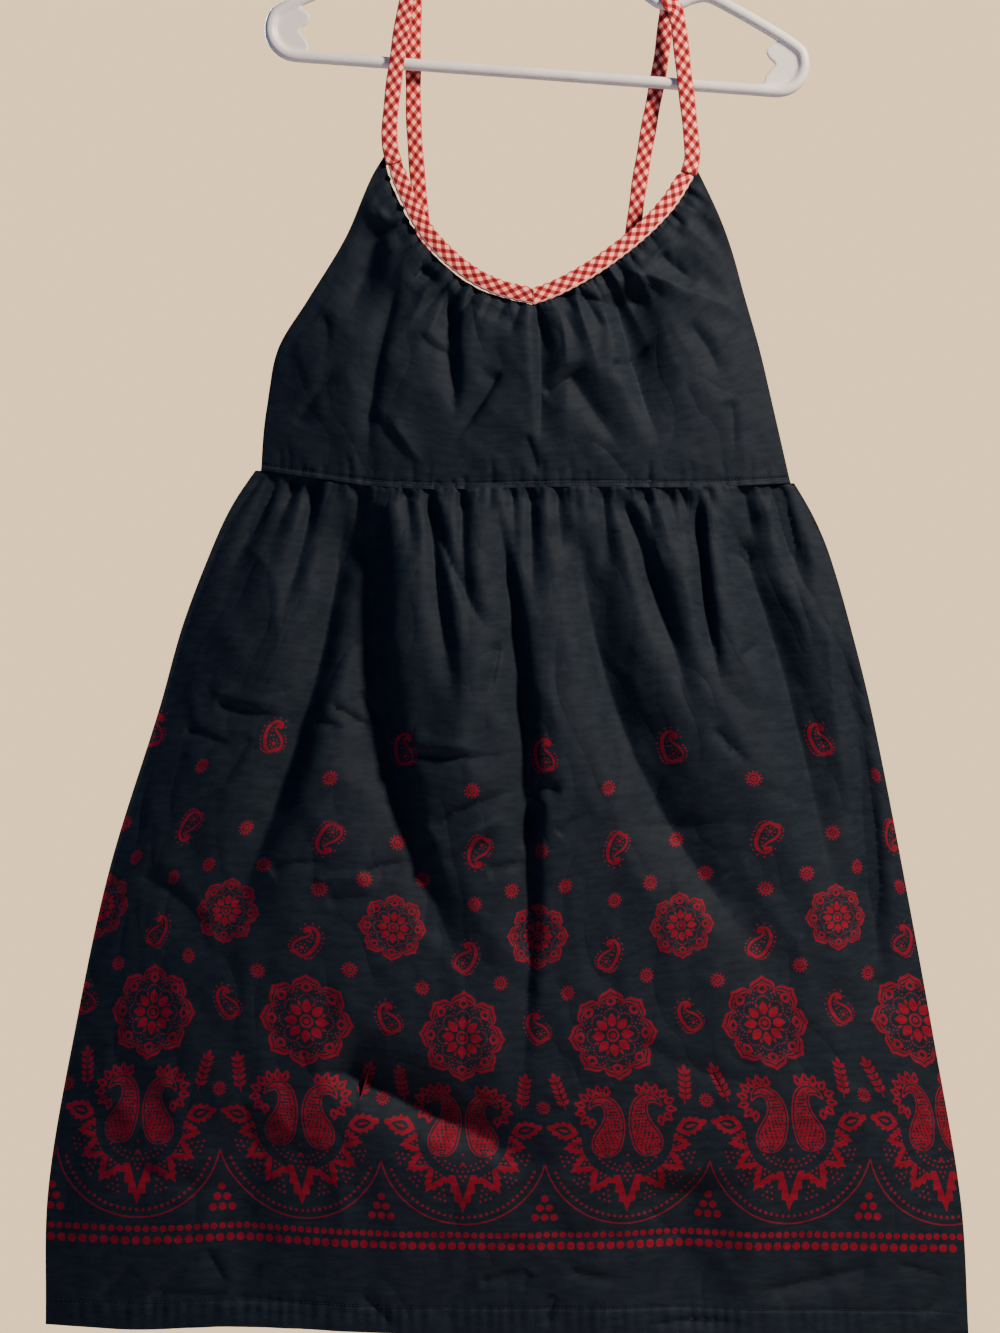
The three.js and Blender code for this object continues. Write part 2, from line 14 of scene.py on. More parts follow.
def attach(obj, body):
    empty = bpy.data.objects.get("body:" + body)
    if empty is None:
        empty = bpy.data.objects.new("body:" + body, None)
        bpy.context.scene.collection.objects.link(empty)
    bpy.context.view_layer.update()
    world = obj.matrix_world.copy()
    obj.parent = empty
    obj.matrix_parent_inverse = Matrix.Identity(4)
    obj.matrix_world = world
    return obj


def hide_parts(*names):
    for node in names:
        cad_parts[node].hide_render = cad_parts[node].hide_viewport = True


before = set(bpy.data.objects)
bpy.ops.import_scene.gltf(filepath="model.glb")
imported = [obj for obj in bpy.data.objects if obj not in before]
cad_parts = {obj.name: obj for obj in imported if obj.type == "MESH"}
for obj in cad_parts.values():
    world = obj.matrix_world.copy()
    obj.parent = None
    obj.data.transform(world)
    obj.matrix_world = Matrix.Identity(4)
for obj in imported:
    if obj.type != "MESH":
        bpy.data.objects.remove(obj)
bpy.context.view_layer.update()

MM = 0.001
VIEW_DISTANCE = 1.8  # of the camera from the hanger, in metres
VIEW_HEIGHT = 1.04  # of the picture, at the hanger
EYE_X = -40.6  # where the camera looks
EYE_H = -140

# Cloth
CLOTH = 0.9  # thickness of a shell
SEAM_Y = 0.6  # outside of a side seam, from the plane of the hanger
WAIST_Z = -500
TUCK = 4  # how far the skirt runs up behind the waist seam
FRONT_TUCK_IN = 1.4  # and how far in it lies there
BACK_TUCK_IN = 1.2
SKIRT_DROP = 660  # from the waist to the hem
WAIST_FROM = -222  # the gathered run of the waist seam
WAIST_TO = 180
WAIST_WIDTH = 414
FOLD_DEPTH = 1.2  # the finer mesh takes deeper folds than the solids
FOLD_REACH = 3.2  # half widths from its middle to where a fold is no longer felt
FOLD_START = 0.18  # shares of its run over which a fold deepens and dies away
FOLD_END = 0.45
FOLD_CRISP = 1.55  # the lower, the sharper the bottom of a fold
GATHER_CRISP = 1.6
CREASE_CRISP = 1.5
PUCKER_CRISP = 1.7
SKIRT_FINE = 2.4  # pitch of the mesh where the cloth bends
BODICE_FINE = 1.6
SHARP_BEND = 0.15  # millimetres off straight over two fine steps of the skirt
HEM_DEPTH = 20
HEM_STITCH = (3.4, 2.6)  # pitch and length
FINE_STITCH = (2.9, 2.1)
STITCH_LIFT = 0.2
STITCH_INSET = 6  # from the side seams
THREAD_WIDTH = 0.8
WAIST_STITCH = 4.2  # heights of the stitch lines on the flat cloth of the bodice
BACK_STITCH = 170
BINDING_WIDTH = 12.5
BINDING_THICKNESS = 3
BINDING_LIFT = 0.6  # off the bodice
EDGE_HIGHLIGHT_FROM = 0.9  # share of the binding's half width past which its folded edge takes a painted highlight
STRAP_WIDTH = 12.2
STRAP_THICKNESS = 2.4
STRAP_GAP = 0.5  # between a strap and the hanger that it lies over
BODICE_WIDTH = 420
BODICE_LENGTH = 190
BACK_TOP = 84
BACK_OVERHANG = 4.5
NECK_STEPS = 400
NECK_CENTRE = -15
NECK_POINT = 2.6  # how far the binding dips to a point there
FAN_H = 290  # the creases under the scoop run away from this height above its middle

# Hanger
HANGER_TILT = math.radians(4.2)
TUBE_RADIUS = 4.75
HOOK_RADIUS = 3.5
HOOK_BEND = 24
BAR_Z = -178
END_BEND = 21
HALF_SPAN = 208.7
NOTCH_X = 99.5
NOTCH_RISE = 61.7
NECK_RISE = 106
WEB_THICKNESS = 2.6

# The outlines of the part. h is the height of each row.
WAIST_SEAM = dict(
    x=[-228, -180, -140, -90, 0, 110, 186],
    h=[13, 5.5, -0.5, -3.5, -1.8, -1.4, 3],
)
HEM_EDGE = dict(
    x=[-395, -320, -250, -120, 60, 325],
    h=[-653, -657, -655, -660, -661, -663],
)
SKIRT_SECTIONS = dict(
    h=[-660, -556, -431, -306, -182, -119, -57, -26, 5],
    left=[-395, -393, -372, -345, -306, -288, -264, -249, -228],
    right=[325, 319, 298, 275, 250.5, 235, 217, 204, 186],
    front=[54, 56, 56, 54, 51, 48, 42, 36, 25],
    back=[35, 36, 36, 34, 31, 29, 25, 21, 16],
)
BODICE_SECTIONS = dict(
    h=[3, 60, 107, 146, 193, 240, 258],
    left=[-228, -222, -214, -190, -161, -140, -129.5],
    right=[186, 173, 162, 150.5, 136.5, 115, 106],
    edge=[SEAM_Y, SEAM_Y, SEAM_Y, 3.5, 6, 8.5, 9],
    front=[25, 32, 33, 26, 18, 11, 9],
    back=[16, 14, 12, 12, 12, 12, 12],
)
NECKLINE = [
    (-129, 256),
    (-122.5, 232),
    (-98.5, 187),
    (-58, 152),
    (-15.5, 140.5),
    (17, 151.5),
    (61, 181.5),
    (93, 213),
    (113, 245),
]

# Where the repeats of the border print meet on the hanging front: five lines of the cloth, by height, and
# how far the cloth sags at SAG_CENTRE.
PRINT_LAY = dict(
    h=[-660, -595, -486, -420, -338, -201, 0],
    first=[-257, -257, -260, -254, -255, -218, -154],
    second=[-133, -133, -133, -129, -124, -116, -81],
    third=[-6, -6, -6, -12, -11, -6, -7],
    fourth=[122, 122, 122, 108, 101, 94, 66],
    fifth=[246, 246, 246, 225, 223, 211, 140],
    sag=[0, 0, 10, 16, 16, 11, 0],
)
SAG_CENTRE = 2.95  # in repeats from the left side seam
SAG_SPREAD = 1.15
# The share of its width that the print keeps where the finest gathers take up cloth.
PRINT_SQUEEZE = dict(
    height=[200, 255, 326, 400, 460],
    width=[1, 0.95, 0.9, 0.85, 0.79],
)
REPEAT = 132  # width of one repeat of the print
SIDE_LEFT = 1.02  # repeats from the left side seam to the first line
SIDE_RIGHT = 0.6  # repeats from the last line to the right side seam
PANEL_WIDTH = (SIDE_LEFT + 4 + SIDE_RIGHT) * REPEAT
PANEL_LENGTH = 664

# Folds: from, through and to, half width, depth in, and how much steeper the right side is.
SKIRT_FOLDS = [
    ((-161, 4), (-190, -175), (-270, -385), 16, 17, 0.2),
    ((-130, 6), (-129, -185), (-52, -410), 20, 21, 0.45),
    ((-47, 0), (-18, -240), (-29, -510), 11, 13, 0.4),
    ((18, 0), (66, -215), (196, -395), 24, 20, -0.2),
    ((50, 0), (78, -78), (112, -190), 10, 13, 0.1),
    ((113, 2), (117, -82), (132, -170), 6, 11, 0.2),
    ((128, -5), (184, -160), (228, -385), 18, 18, -0.2),
    ((226, -110), (249, -260), (247, -460), 12, 12, 0),
    ((-180, -440), (-95, -480), (16, -528), 19, 15, -0.3),
    ((-60, -15), (-70, -160), (-50, -300), 22, -7, 0),
    ((100, -520), (105, -590), (110, -664), 40, 9, 0),
    ((-230, -470), (-238, -570), (-240, -664), 36, 9, 0),
]
# Gathers under the waist seam: x, drift, length, depth.
SKIRT_GATHERS = [
    (-216, -27, 60, 6),
    (-197, -20, 45, 5),
    (-182, -20, 80, 7),
    (-147, -4, 50, 6),
    (-113, 6, 42, 5),
    (-97, 18, 130, 8),
    (-71, 6, 95, 7),
    (-31, 3, 46, 5),
    (-17, 2, 70, 7),
    (3, 4, 44, 5),
    (38, 6, 52, 6),
    (70, 14, 66, 6),
    (88, 12, 44, 5),
    (100, 8, 40, 5),
    (148, 9, 34, 6),
    (174, 18, 64, 8),
]
# Creases that the cloth keeps from lying folded: from, through and to, half width, depth, lean.
SKIRT_CREASES = [
    ((-263, -166), (-234, -175), (-197, -181), 6, 3.4, 0.4),
    ((-268, -157), (-236, -165), (-205, -171), 7, -2.4, 0),
    ((-286, -186), (-265, -195), (-240, -203), 6, 3.0, 0.4),
    ((-231, -191), (-245, -217), (-263, -245), 6, 2.8, 0.2),
    ((-184, -179), (-171, -184), (-159, -187), 5, 3.0, 0.3),
    ((-173, -166), (-153, -179), (-138, -186), 5, 3.0, 0.3),
    ((-218, -297), (-197, -290), (-166, -290), 5, 3.2, 0.3),
    ((-184, -302), (-161, -300), (-138, -301), 5, -2.4, 0.2),
    ((-175, -316), (-153, -316), (-132, -312), 5, 2.4, 0.2),
    ((-148, -297), (-125, -291), (-103, -288), 5, 3.0, 0.3),
    ((-112, -205), (-82, -208), (-26, -208), 5, 4.4, 0.4),
    ((-112, -195), (-85, -199), (-48, -204), 7, -3.0, 0),
    ((-97, -265), (-63, -246), (-20, -231), 6, 4.4, 0.3),
    ((-98, -286), (-66, -269), (-28, -248), 6, -3.4, 0.2),
    ((-86, -290), (-60, -276), (-36, -258), 6, 3.0, 0.3),
    ((-41, -119), (-45, -144), (-52, -172), 4, 3.4, 0.3),
    ((-9, -241), (-17, -262), (-27, -282), 5, 4.4, 0.2),
    ((-16, -231), (-3, -233), (8, -236), 7, 6.0, 0),
    ((2, -268), (12, -259), (24, -250), 5, 2.2, 0.2),
    ((-52, -296), (-35, -291), (-20, -287), 5, 3.2, 0.2),
    ((-150, -158), (-139, -172), (-129, -185), 5, 2.6, 0.2),
    ((-97, -6), (-74, -69), (-44, -122), 6, 5.0, -0.3),
    ((68, -7), (80, -49), (91, -88), 5, -3.4, 0.2),
    ((132, -52), (146, -54), (160, -66), 8, 5.0, 0),
    ((217, -92), (218, -150), (223, -200), 6, -3.0, 0),
    ((121, -184), (137, -202), (157, -218), 5, 2.6, 0.2),
    ((143, -132), (153, -126), (165, -120), 5, 2.4, 0.2),
    ((60, -260), (112, -262), (168, -250), 8, 2.8, 0.2),
    ((-330, -300), (-290, -318), (-262, -352), 8, 2.8, 0),
    ((60, -420), (120, -450), (190, -460), 10, 3.0, 0.2),
    ((-92, -639), (-70, -616), (-46, -601), 6, 2.6, 0.2),
    ((148, -618), (217, -608), (256, -601), 8, 4.2, 0.3),
    ((262, -601), (290, -609), (314, -618), 5, 2.6, 0.3),
    ((283, -642), (300, -632), (316, -621), 7, 3.0, 0),
    ((72, -641), (112, -638), (156, -642), 4, 2.6, 0.2),
    ((8, -596), (32, -602), (56, -604), 5, 3.0, 0.2),
    ((0, -614), (-3, -629), (-6, -642), 5, 2.4, 0.2),
    ((-16, -598), (-21, -606), (-26, -616), 5, 2.4, 0.2),
    ((-58, -605), (-38, -601), (-16, -596), 6, 3.0, 0.3),
    ((-313, -628), (-290, -607), (-266, -585), 5, 2.6, 0.3),
    ((-266, -585), (-257, -601), (-246, -617), 5, 2.4, 0.2),
    ((-248, -621), (-232, -606), (-216, -590), 5, 2.4, 0.2),
    ((-355, -635), (-260, -621), (-120, -635), 5, 2.2, 0.2),
    ((-149, -614), (-131, -630), (-113, -646), 6, 3.0, 0.2),
    ((-353, -633), (-336, -614), (-316, -593), 5, 2.2, 0.2),
    ((-330, -520), (-270, -540), (-210, -532), 10, 2.6, 0.2),
    ((-20, -560), (60, -575), (130, -560), 11, 2.4, 0),
]
BODICE_FOLDS = [
    ((-118, 165), (-138, 75), (-142, 4), 8, 6, 0.3),
    ((-82, 160), (-77, 100), (-75, 34), 7, 8, 0.3),
    ((-13, 145), (-9, 82), (-10, 24), 7, 8, -0.4),
    ((48, 167), (100, 153), (154, 132), 8, -5, 0.3),
    ((48, 160), (61, 98), (88, 20), 17, 18, -0.5),
    ((8, 92), (30, 60), (60, 18), 11, 7, 0),
    ((-132, 212), (-144, 170), (-160, 120), 14, 7, 0),
]
BODICE_CREASES = [
    ((-40, 88), (-56, 60), (-82, 24), 5, 4.2, 0.4),
    ((-104, 118), (-88, 104), (-66, 100), 5, 2.2, 0.3),
    ((-8, 70), (8, 79), (26, 93), 5, 3.4, 0.3),
    ((44, 93), (62, 97), (82, 120), 5, 4.0, 0.3),
    ((2, 147), (28, 144), (54, 132), 5, 4.4, 0.3),
    ((82, 181), (94, 170), (114, 157), 6, 3.2, 0.3),
    ((-104, 168), (-96, 162), (-86, 150), 6, 5, 0),
    ((-143, 62), (-126, 37), (-102, 10), 6, 1.6, 0.3),
    ((-126, 52), (-112, 32), (-96, 12), 6, -2.6, 0),
    ((-22, 40), (-14, 21), (-11, 3), 5, 3.2, 0.3),
    ((138, 68), (141, 46), (141, 22), 6, 2.8, 0.2),
    ((-200, 45), (-184, 69), (-162, 90), 7, 3.0, 0.2),
    ((-180, 134), (-174, 118), (-178, 96), 5, 1.8, 0.2),
    ((104, 128), (122, 104), (130, 80), 7, 3.0, 0.2),
]
NECK_GATHERS = 30
SMALL_GATHERS = 56
WAIST_PUCKERS = 40
BACK_GATHERS = 16


# Curves through tables


def hermite(a, b, slope_a, slope_b, span, t):
    """From a to b over a span, with a slope at each end, at the share t of the span."""
    bend = slope_a * span * t * (1 - t) ** 2 - slope_b * span * t * t * (1 - t)
    return a + (b - a) * t * t * (3 - 2 * t) + bend


def curve(rows, name, along="h"):
    """A smooth curve through one column of a table, read along another."""
    at, value = (np.array(rows[key], float) for key in (along, name))
    slope = np.gradient(value, at)
    slope[1:-1] = (value[2:] - value[:-2]) / (at[2:] - at[:-2])

    def read(place):
        p = np.clip(place, at[0], at[-1])
        i = np.clip(np.searchsorted(at, p, side="right") - 1, 0, len(at) - 2)
        span = at[i + 1] - at[i]
        return hermite(value[i], value[i + 1], slope[i], slope[i + 1], span, (p - at[i]) / span)

    return read


waist_seam = curve(WAIST_SEAM, "h", "x")
hem_edge = curve(HEM_EDGE, "h", "x")
skirt_left, skirt_right, skirt_front, skirt_back = (
    curve(SKIRT_SECTIONS, name) for name in ("left", "right", "front", "back")
)
bodice_left, bodice_right, bodice_edge, bodice_front, bodice_back = (
    curve(BODICE_SECTIONS, name) for name in ("left", "right", "edge", "front", "back")
)
print_lines = [curve(PRINT_LAY, name) for name in ("first", "second", "third", "fourth", "fifth")]
print_sag = curve(PRINT_LAY, "sag")


def mix(a, b, t):
    return a + (b - a) * t


def ease(value, low, high):
    """0 below low, 1 above high, and smooth between."""
    t = np.clip((value - low) / (high - low), 0, 1)
    return t * t * (3 - 2 * t)


def bell(value, middle, width):
    """1 at the middle, and next to nothing two widths away."""
    return np.exp(-(((value - middle) / width) ** 2))


def unit(vectors):
    """The same directions, with a length of one."""
    return vectors / np.maximum(np.linalg.norm(vectors, axis=1), 1e-9)[:, None]


def square_to(vectors, run):
    """The directions nearest to these that are square to a run."""
    return unit(vectors - run * (vectors * run).sum(axis=1)[:, None])


def length_along(points):
    """How far along a line each of its points lies."""
    return np.concatenate([[0], np.cumsum(np.linalg.norm(np.diff(points, axis=0), axis=1))])


def smooth_line(points, count):
    """Points at even steps on a smooth line through a few places."""
    points = np.array(points, float)
    columns = dict(enumerate(points.T))
    table = {"length": length_along(points), **columns}
    fine = np.linspace(0, table["length"][-1], 40 * len(points))
    line = np.stack([curve(table, i, "length")(fine) for i in columns], axis=1)
    length = length_along(line)
    even = np.linspace(0, length[-1], count)
    return np.stack([np.interp(even, length, column) for column in line.T], axis=1)


# Folds and creases


def fold_run(start, through, end):
    """A bent line through three places, as short straight stretches."""
    a, b, c = (np.array(p, float) for p in (start, through, end))
    pull = 2 * b - (a + c) / 2
    t = np.linspace(0, 1, 13)[:, None]
    return (1 - t) ** 2 * a + 2 * t * (1 - t) * pull + t * t * c


def folds_at(folds, x, h, crisp, spread=0):
    """How far the folds push the cloth in at each place. With spread they get wider along their run."""
    total = np.zeros(np.shape(x))
    for start, through, end, width, depth, lean in folds:
        run = fold_run(start, through, end)
        reach = FOLD_REACH * width * (1 + abs(lean)) * (1 + spread)
        low, high = run.min(axis=0) - reach, run.max(axis=0) + reach
        close = (x > low[0]) & (x < high[0]) & (h > low[1]) & (h < high[1])
        if not close.any():
            continue
        px, ph = x[close], h[close]
        nearest = np.full(px.shape, np.inf)
        side = np.ones(px.shape)
        along = np.zeros(px.shape)
        for i, (a, b) in enumerate(zip(run, run[1:])):
            d = b - a
            t = np.clip(((px - a[0]) * d[0] + (ph - a[1]) * d[1]) / (d @ d), 0, 1)
            away = np.hypot(px - a[0] - t * d[0], ph - a[1] - t * d[1])
            closer = away < nearest
            nearest = np.where(closer, away, nearest)
            side = np.where(closer, np.sign((ph - a[1]) * d[0] - (px - a[0]) * d[1]), side)
            along = np.where(closer, (i + t) / (len(run) - 1), along)
        fade = ease(along, 0, FOLD_START) * ease(1 - along, 0, FOLD_END)
        half = width * (1 - side * lean) * (1 + spread * along)
        total[close] += depth * fade * np.exp(-((nearest / half) ** crisp))
    return total


def gather(x, drift, length, depth, width=5):
    """A short narrow fold that hangs from the waist seam."""
    top = float(waist_seam(x)) + length * 0.08
    return ((x, top), (x + drift * 0.4, top - length / 2), (x + drift, top - length), width, depth, 0)


def uneven(i, low, high):
    """A size for the i-th of many alike things, uneven but always the same."""
    return mix(low, high, (math.sin(i * 12.9898 + 4.1) * 43758.5453) % 1)


def small_gathers():
    """The tight little pleats between the larger gathers."""
    rows = []
    for i, x in enumerate(np.linspace(WAIST_FROM, WAIST_TO, SMALL_GATHERS)):
        length = uneven(i + 60, 9, 34)
        depth = uneven(i + 120, 0.9, 2.6)
        rows.append(gather(x + uneven(i, -2.5, 2.5), (x + 20) * 0.06, length, depth, 2.2))
    return rows


def back_gathers():
    """The gathers of the hidden side: even in their places, uneven in their lengths."""
    rows = []
    for i in range(BACK_GATHERS):
        share = (i + 0.5) / BACK_GATHERS
        step = (i * 5) % 7
        x = float(mix(skirt_left(0), skirt_right(0), share))
        rows.append(gather(x, (share - 0.5) * 60, 60 + 32 * step, (4 + step) * float(fullness(share))))
    return rows


def crumple(x, h, cell, seed):
    """Slight unevenness of washed cotton, between about -1 and 1."""
    return np.array([noise.noise(Vector((a / cell, b / cell, seed))) for a, b in zip(x, h)])


def creased(x, h, seed):
    """Crossing ridges with soft crests and valleys, about -1 to 0.5, in cells of one unit."""
    return 0.5 - 3 * np.sqrt(crumple(x, h, 1, seed) ** 2 + 0.006)


def skirt_wrinkles(x, h, seed):
    """Long soft waves with the fall of the skirt, and small crossing creases, away from the waist."""
    spread = x / (1 - h / 900)  # the waves fan out downwards
    waves = 2.6 * creased(spread / 62, h / 230, seed)
    small = 1.25 * creased((x + 0.5 * h) / 44, (h - 0.5 * x) / 80, seed + 6)
    small += 0.5 * crumple(x, h, 17, seed + 9)
    return (waves + small) * ease(-h, 0, 60)


def fullness(u):
    """How full a panel stands at a share of its width: 0 at the side seams and 1 in the middle."""
    return 1 - np.abs(2 * np.asarray(u) - 1) ** 2.6


def seam_fade(u):
    """Folds die out close to the side seams."""
    return ease(u, 0, 0.05) * ease(1 - u, 0, 0.05)


# Where each panel's cloth lies


def skirt_place(flat):
    """x and h of points on the flat cloth, which hangs from the waist seam and is gathered towards it."""
    U, V = flat.T
    repeats = U / REPEAT
    last = PANEL_WIDTH / REPEAT
    lift = V / PANEL_LENGTH
    nominal = -SKIRT_DROP + SKIRT_DROP * lift
    stops = np.array([0, *(SIDE_LEFT + n for n in range(len(print_lines))), last])
    lines = np.stack([line(nominal) for line in (skirt_left, *print_lines, skirt_right)])
    slope = np.empty_like(lines)
    slope[1:-1] = (lines[2:] - lines[:-2]) / (stops[2:] - stops[:-2])[:, None]
    slope[0] = (lines[1] - lines[0]) / (stops[1] - stops[0])
    slope[-1] = (lines[-1] - lines[-2]) / (stops[-1] - stops[-2])
    near = np.clip(np.searchsorted(stops, repeats, side="right") - 1, 0, len(stops) - 2)
    here, after = (near, np.arange(len(near))), (near + 1, np.arange(len(near)))
    span = stops[near + 1] - stops[near]
    share = (repeats - stops[near]) / span
    x = hermite(lines[here], lines[after], slope[here], slope[after], span, share)
    gathered = np.maximum(1, (lines[-1] - lines[0]) / WAIST_WIDTH)
    top = waist_seam(x / gathered) + TUCK * ease(repeats, 0, 0.25) * ease(last - repeats, 0, 0.25)
    h = mix(hem_edge(x), top, lift) - print_sag(nominal) * bell(repeats, SAG_CENTRE, SAG_SPREAD)
    u = np.clip((x - lines[0]) / (lines[-1] - lines[0]), 0, 1)
    return as_seen(x, h, (skirt_front(h) - SEAM_Y) * fullness(u) * ease(-h, 0, 60))


def as_seen(x, h, out):
    """Undoes the perspective for places read from the photograph, where cloth that stands out looks
    larger."""
    shrink = 1 - out / (VIEW_DISTANCE / MM)
    return EYE_X + (x - EYE_X) * shrink, EYE_H + (h - EYE_H) * shrink


def hem_relief(flat):
    """The turned hem stands out a little, with a groove and small puckers at its stitch line."""
    U, V = flat.T
    step = 0.5 * ease(HEM_DEPTH + 1.5 - V, 0, 2)
    groove = 0.8 * bell(V, HEM_DEPTH, 1.6)
    pucker = 0.45 * np.sin(U * 0.62 + 1.6 * np.sin(U * 0.07)) * bell(V, 12, 10)
    return step - groove + pucker


# The larger gathers, longer and deeper than the solids can take them.
front_skirt_gathers = small_gathers() + [
    gather(x, drift * 1.5, length * 1.6, depth * 1.35, 4) for x, drift, length, depth in SKIRT_GATHERS
]
back_skirt_folds = back_gathers()


def skirt_form(x, h, depth):
    """How far the plain form of one side stands out, and how its folds fade at the side seams."""
    left, right = skirt_left(h), skirt_right(h)
    u = np.clip((x - left) / (right - left), 0, 1)
    return SEAM_Y + (depth(h) - SEAM_Y) * fullness(u), seam_fade(u)


def front_skirt(flat):
    x, h = skirt_place(flat)
    out, fade = skirt_form(x, h, skirt_front)
    out -= fade * FOLD_DEPTH * folds_at(SKIRT_FOLDS, x, h, FOLD_CRISP)
    out -= fade * folds_at(front_skirt_gathers, x, h, GATHER_CRISP, 2.2)
    out -= fade * folds_at(SKIRT_CREASES, x, h, CREASE_CRISP)
    out += fade * (skirt_wrinkles(x, h, 3) + hem_relief(flat))
    out = np.maximum(out, SEAM_Y)  # no fold reaches the back
    out -= FRONT_TUCK_IN * ease(h - waist_seam(x), -2, 2)
    return np.stack([x, -out, WAIST_Z + h], axis=1)


def back_skirt(flat):
    """The same cut turned round, so that the print runs on from the front at the side seams."""
    x, h = skirt_place(np.stack([PANEL_WIDTH - flat[:, 0], flat[:, 1]], axis=1))
    out, fade = skirt_form(x, h, skirt_back)
    out -= fade * folds_at(back_skirt_folds, x, h, GATHER_CRISP, 1.6)
    out += fade * (skirt_wrinkles(x, h, 31) + hem_relief(flat))
    out -= BACK_TUCK_IN * ease(h - waist_seam(x), -2, 2)
    return np.stack([x, out, WAIST_Z + h], axis=1)


neck_line = smooth_line(NECKLINE, NECK_STEPS)
neck_line[:, 1] -= NECK_POINT * np.exp(-np.abs(neck_line[:, 0] - NECK_CENTRE) / 9)
neck_run = unit(np.gradient(neck_line, axis=0))
neck_inward = np.stack([-neck_run[:, 1], neck_run[:, 0]], axis=1)
neck_length = float(length_along(neck_line)[-1])


def neck_at(u):
    """Points on the lower edge of the binding, and the direction towards the neck opening."""
    at = np.linspace(0, 1, NECK_STEPS)
    edge_x, edge_h, inward_x, inward_h = (
        np.interp(u, at, column) for column in (*neck_line.T, *neck_inward.T)
    )
    return np.stack([edge_x, edge_h], axis=1), np.stack([inward_x, inward_h], axis=1)


def neck_gathers():
    """Folds that fan out under the binding."""
    rows = []
    for i in range(NECK_GATHERS):
        share = (i + 0.5 + uneven(i, -0.25, 0.25)) / NECK_GATHERS
        (place,), (inward,) = neck_at(np.array([share]))
        length = uneven(i + 30, 14, 54)
        end = place - inward * length + np.array([uneven(i + 9, -6, 6), 0])
        start = place + inward * length * 0.1
        width = uneven(i + 70, 2.4, 4.6)
        depth = uneven(i + 90, 2.2, 5)
        rows.append((start, (start + end) / 2, end, width, depth, 0.2))
    return rows


def waist_puckers():
    """Short puckers that rise from the waist seam into the bodice."""
    rows = []
    for i in range(WAIST_PUCKERS):
        x = mix(WAIST_FROM, WAIST_TO, (i + 0.5) / WAIST_PUCKERS) + uneven(i + 7, -4.5, 4.5)
        seam = float(waist_seam(x))
        rise = uneven(i + 40, 5, 28)
        through = (x + 1, seam + rise / 2)
        end = (x + uneven(i, -4, 6), seam + rise)
        rows.append(((x, seam - 1), through, end, 2.8, uneven(i + 80, 0.2, 1.4), 0))
    return rows


scoop_gathers = neck_gathers()
seam_puckers = waist_puckers()


def bodice_place(u, v):
    """A patch between the neckline, the waist seam and the two sides."""
    top, _ = neck_at(u)
    corners = neck_line[0], neck_line[-1]
    ends = [np.array([side(0), waist_seam(side(0))]) for side in (bodice_left, bodice_right)]
    bottom = mix(ends[0][0], ends[1][0], u)
    bottom = np.stack([bottom, waist_seam(bottom)], axis=1)
    left_h = mix(corners[0][1], ends[0][1], v)
    right_h = mix(corners[1][1], ends[1][1], v)
    left = np.stack([bodice_left(left_h), left_h], axis=1)
    right = np.stack([bodice_right(right_h), right_h], axis=1)
    u, v = u[:, None], v[:, None]
    across = mix(mix(corners[0], corners[1], u), mix(ends[0], ends[1], u), v)
    place = mix(top, bottom, v) + mix(left, right, u) - across
    return place[:, 0], place[:, 1]


def bodice_wrinkles(x, h):
    """Small creases that run away from the scoop, and slanting ones below."""
    away = np.hypot(x - NECK_CENTRE, h - FAN_H)
    round_scoop = np.arctan2(x - NECK_CENTRE, FAN_H - h) * 150
    fan_out = 2.0 * creased(round_scoop / 17, away / 75, 5) * bell(away, 150, 70)
    slant = 0.8 * creased((x + 0.7 * h) / 44, (h - 0.7 * x) / 70, 21)
    slant += 0.8 * creased((x - 0.8 * h) / 40, (h + 0.8 * x) / 76, 25)
    return fan_out + slant + 0.35 * crumple(x, h, 15, 27)


def neck_puff(x, h):
    """The gathered cloth swells out just below the binding."""
    swell = 3.2
    reach = 11  # the swell is highest so far below it
    away = np.full(np.shape(x), np.inf)
    for a, b in neck_line[::5]:
        away = np.minimum(away, np.hypot(x - a, h - b))
    return swell * away / reach * np.exp(1 - away / reach)


def front_bodice(flat):
    u, v = flat[:, 0] / BODICE_WIDTH, 1 - flat[:, 1] / BODICE_LENGTH
    x, h = bodice_place(u, v)
    folds = folds_at(BODICE_FOLDS, x, h, FOLD_CRISP) + folds_at(BODICE_CREASES, x, h, CREASE_CRISP)
    folds += folds_at(scoop_gathers, x, h, CREASE_CRISP, 1.2) + folds_at(seam_puckers, x, h, PUCKER_CRISP)
    relief = bodice_wrinkles(x, h) + neck_puff(x, h) - folds
    full = 1 - (1 - fullness(u)) * ease(v, 0, 0.25)  # the binding keeps the top edge forward
    out = mix(bodice_edge(h), bodice_front(h), full) + seam_fade(u) * relief
    rise = h - waist_seam(x)  # the seam allowance stands out below the edge stitch, which pulls in
    out += 0.9 * ease(4.5 - rise, 0, 1.6) - 0.7 * bell(rise, 4.6, 1.3)
    return np.stack([x, -out, WAIST_Z + h], axis=1)


def back_bodice(flat):
    """A plain low panel. Its left end swells past the side, and its turned top edge is stitched down."""
    across, v = 1 - flat[:, 0] / BODICE_WIDTH, 1 - flat[:, 1] / BODICE_LENGTH
    bottom = waist_seam(mix(bodice_left(0), bodice_right(0), across))
    h = mix(BACK_TOP, bottom, v)
    swell = BACK_OVERHANG * np.sin(np.pi * v) * bell(across, 0.035, 0.03)
    x = mix(bodice_left(h), bodice_right(h), across) - swell
    out = SEAM_Y + (bodice_back(h) - SEAM_Y) * fullness(across)
    fade = seam_fade(across)
    out += fade * (0.9 * crumple(x, h, 30, 41) + 0.4 * crumple(x, h, 13, 47))
    out -= fade * 0.6 * bell(BACK_TOP - h, 9, 1.3)
    return np.stack([x, out, WAIST_Z + h], axis=1)


# The border print, drawn for one repeat: shapes are outlines in millimetres, and where two overlap the
# inner one is left out again.


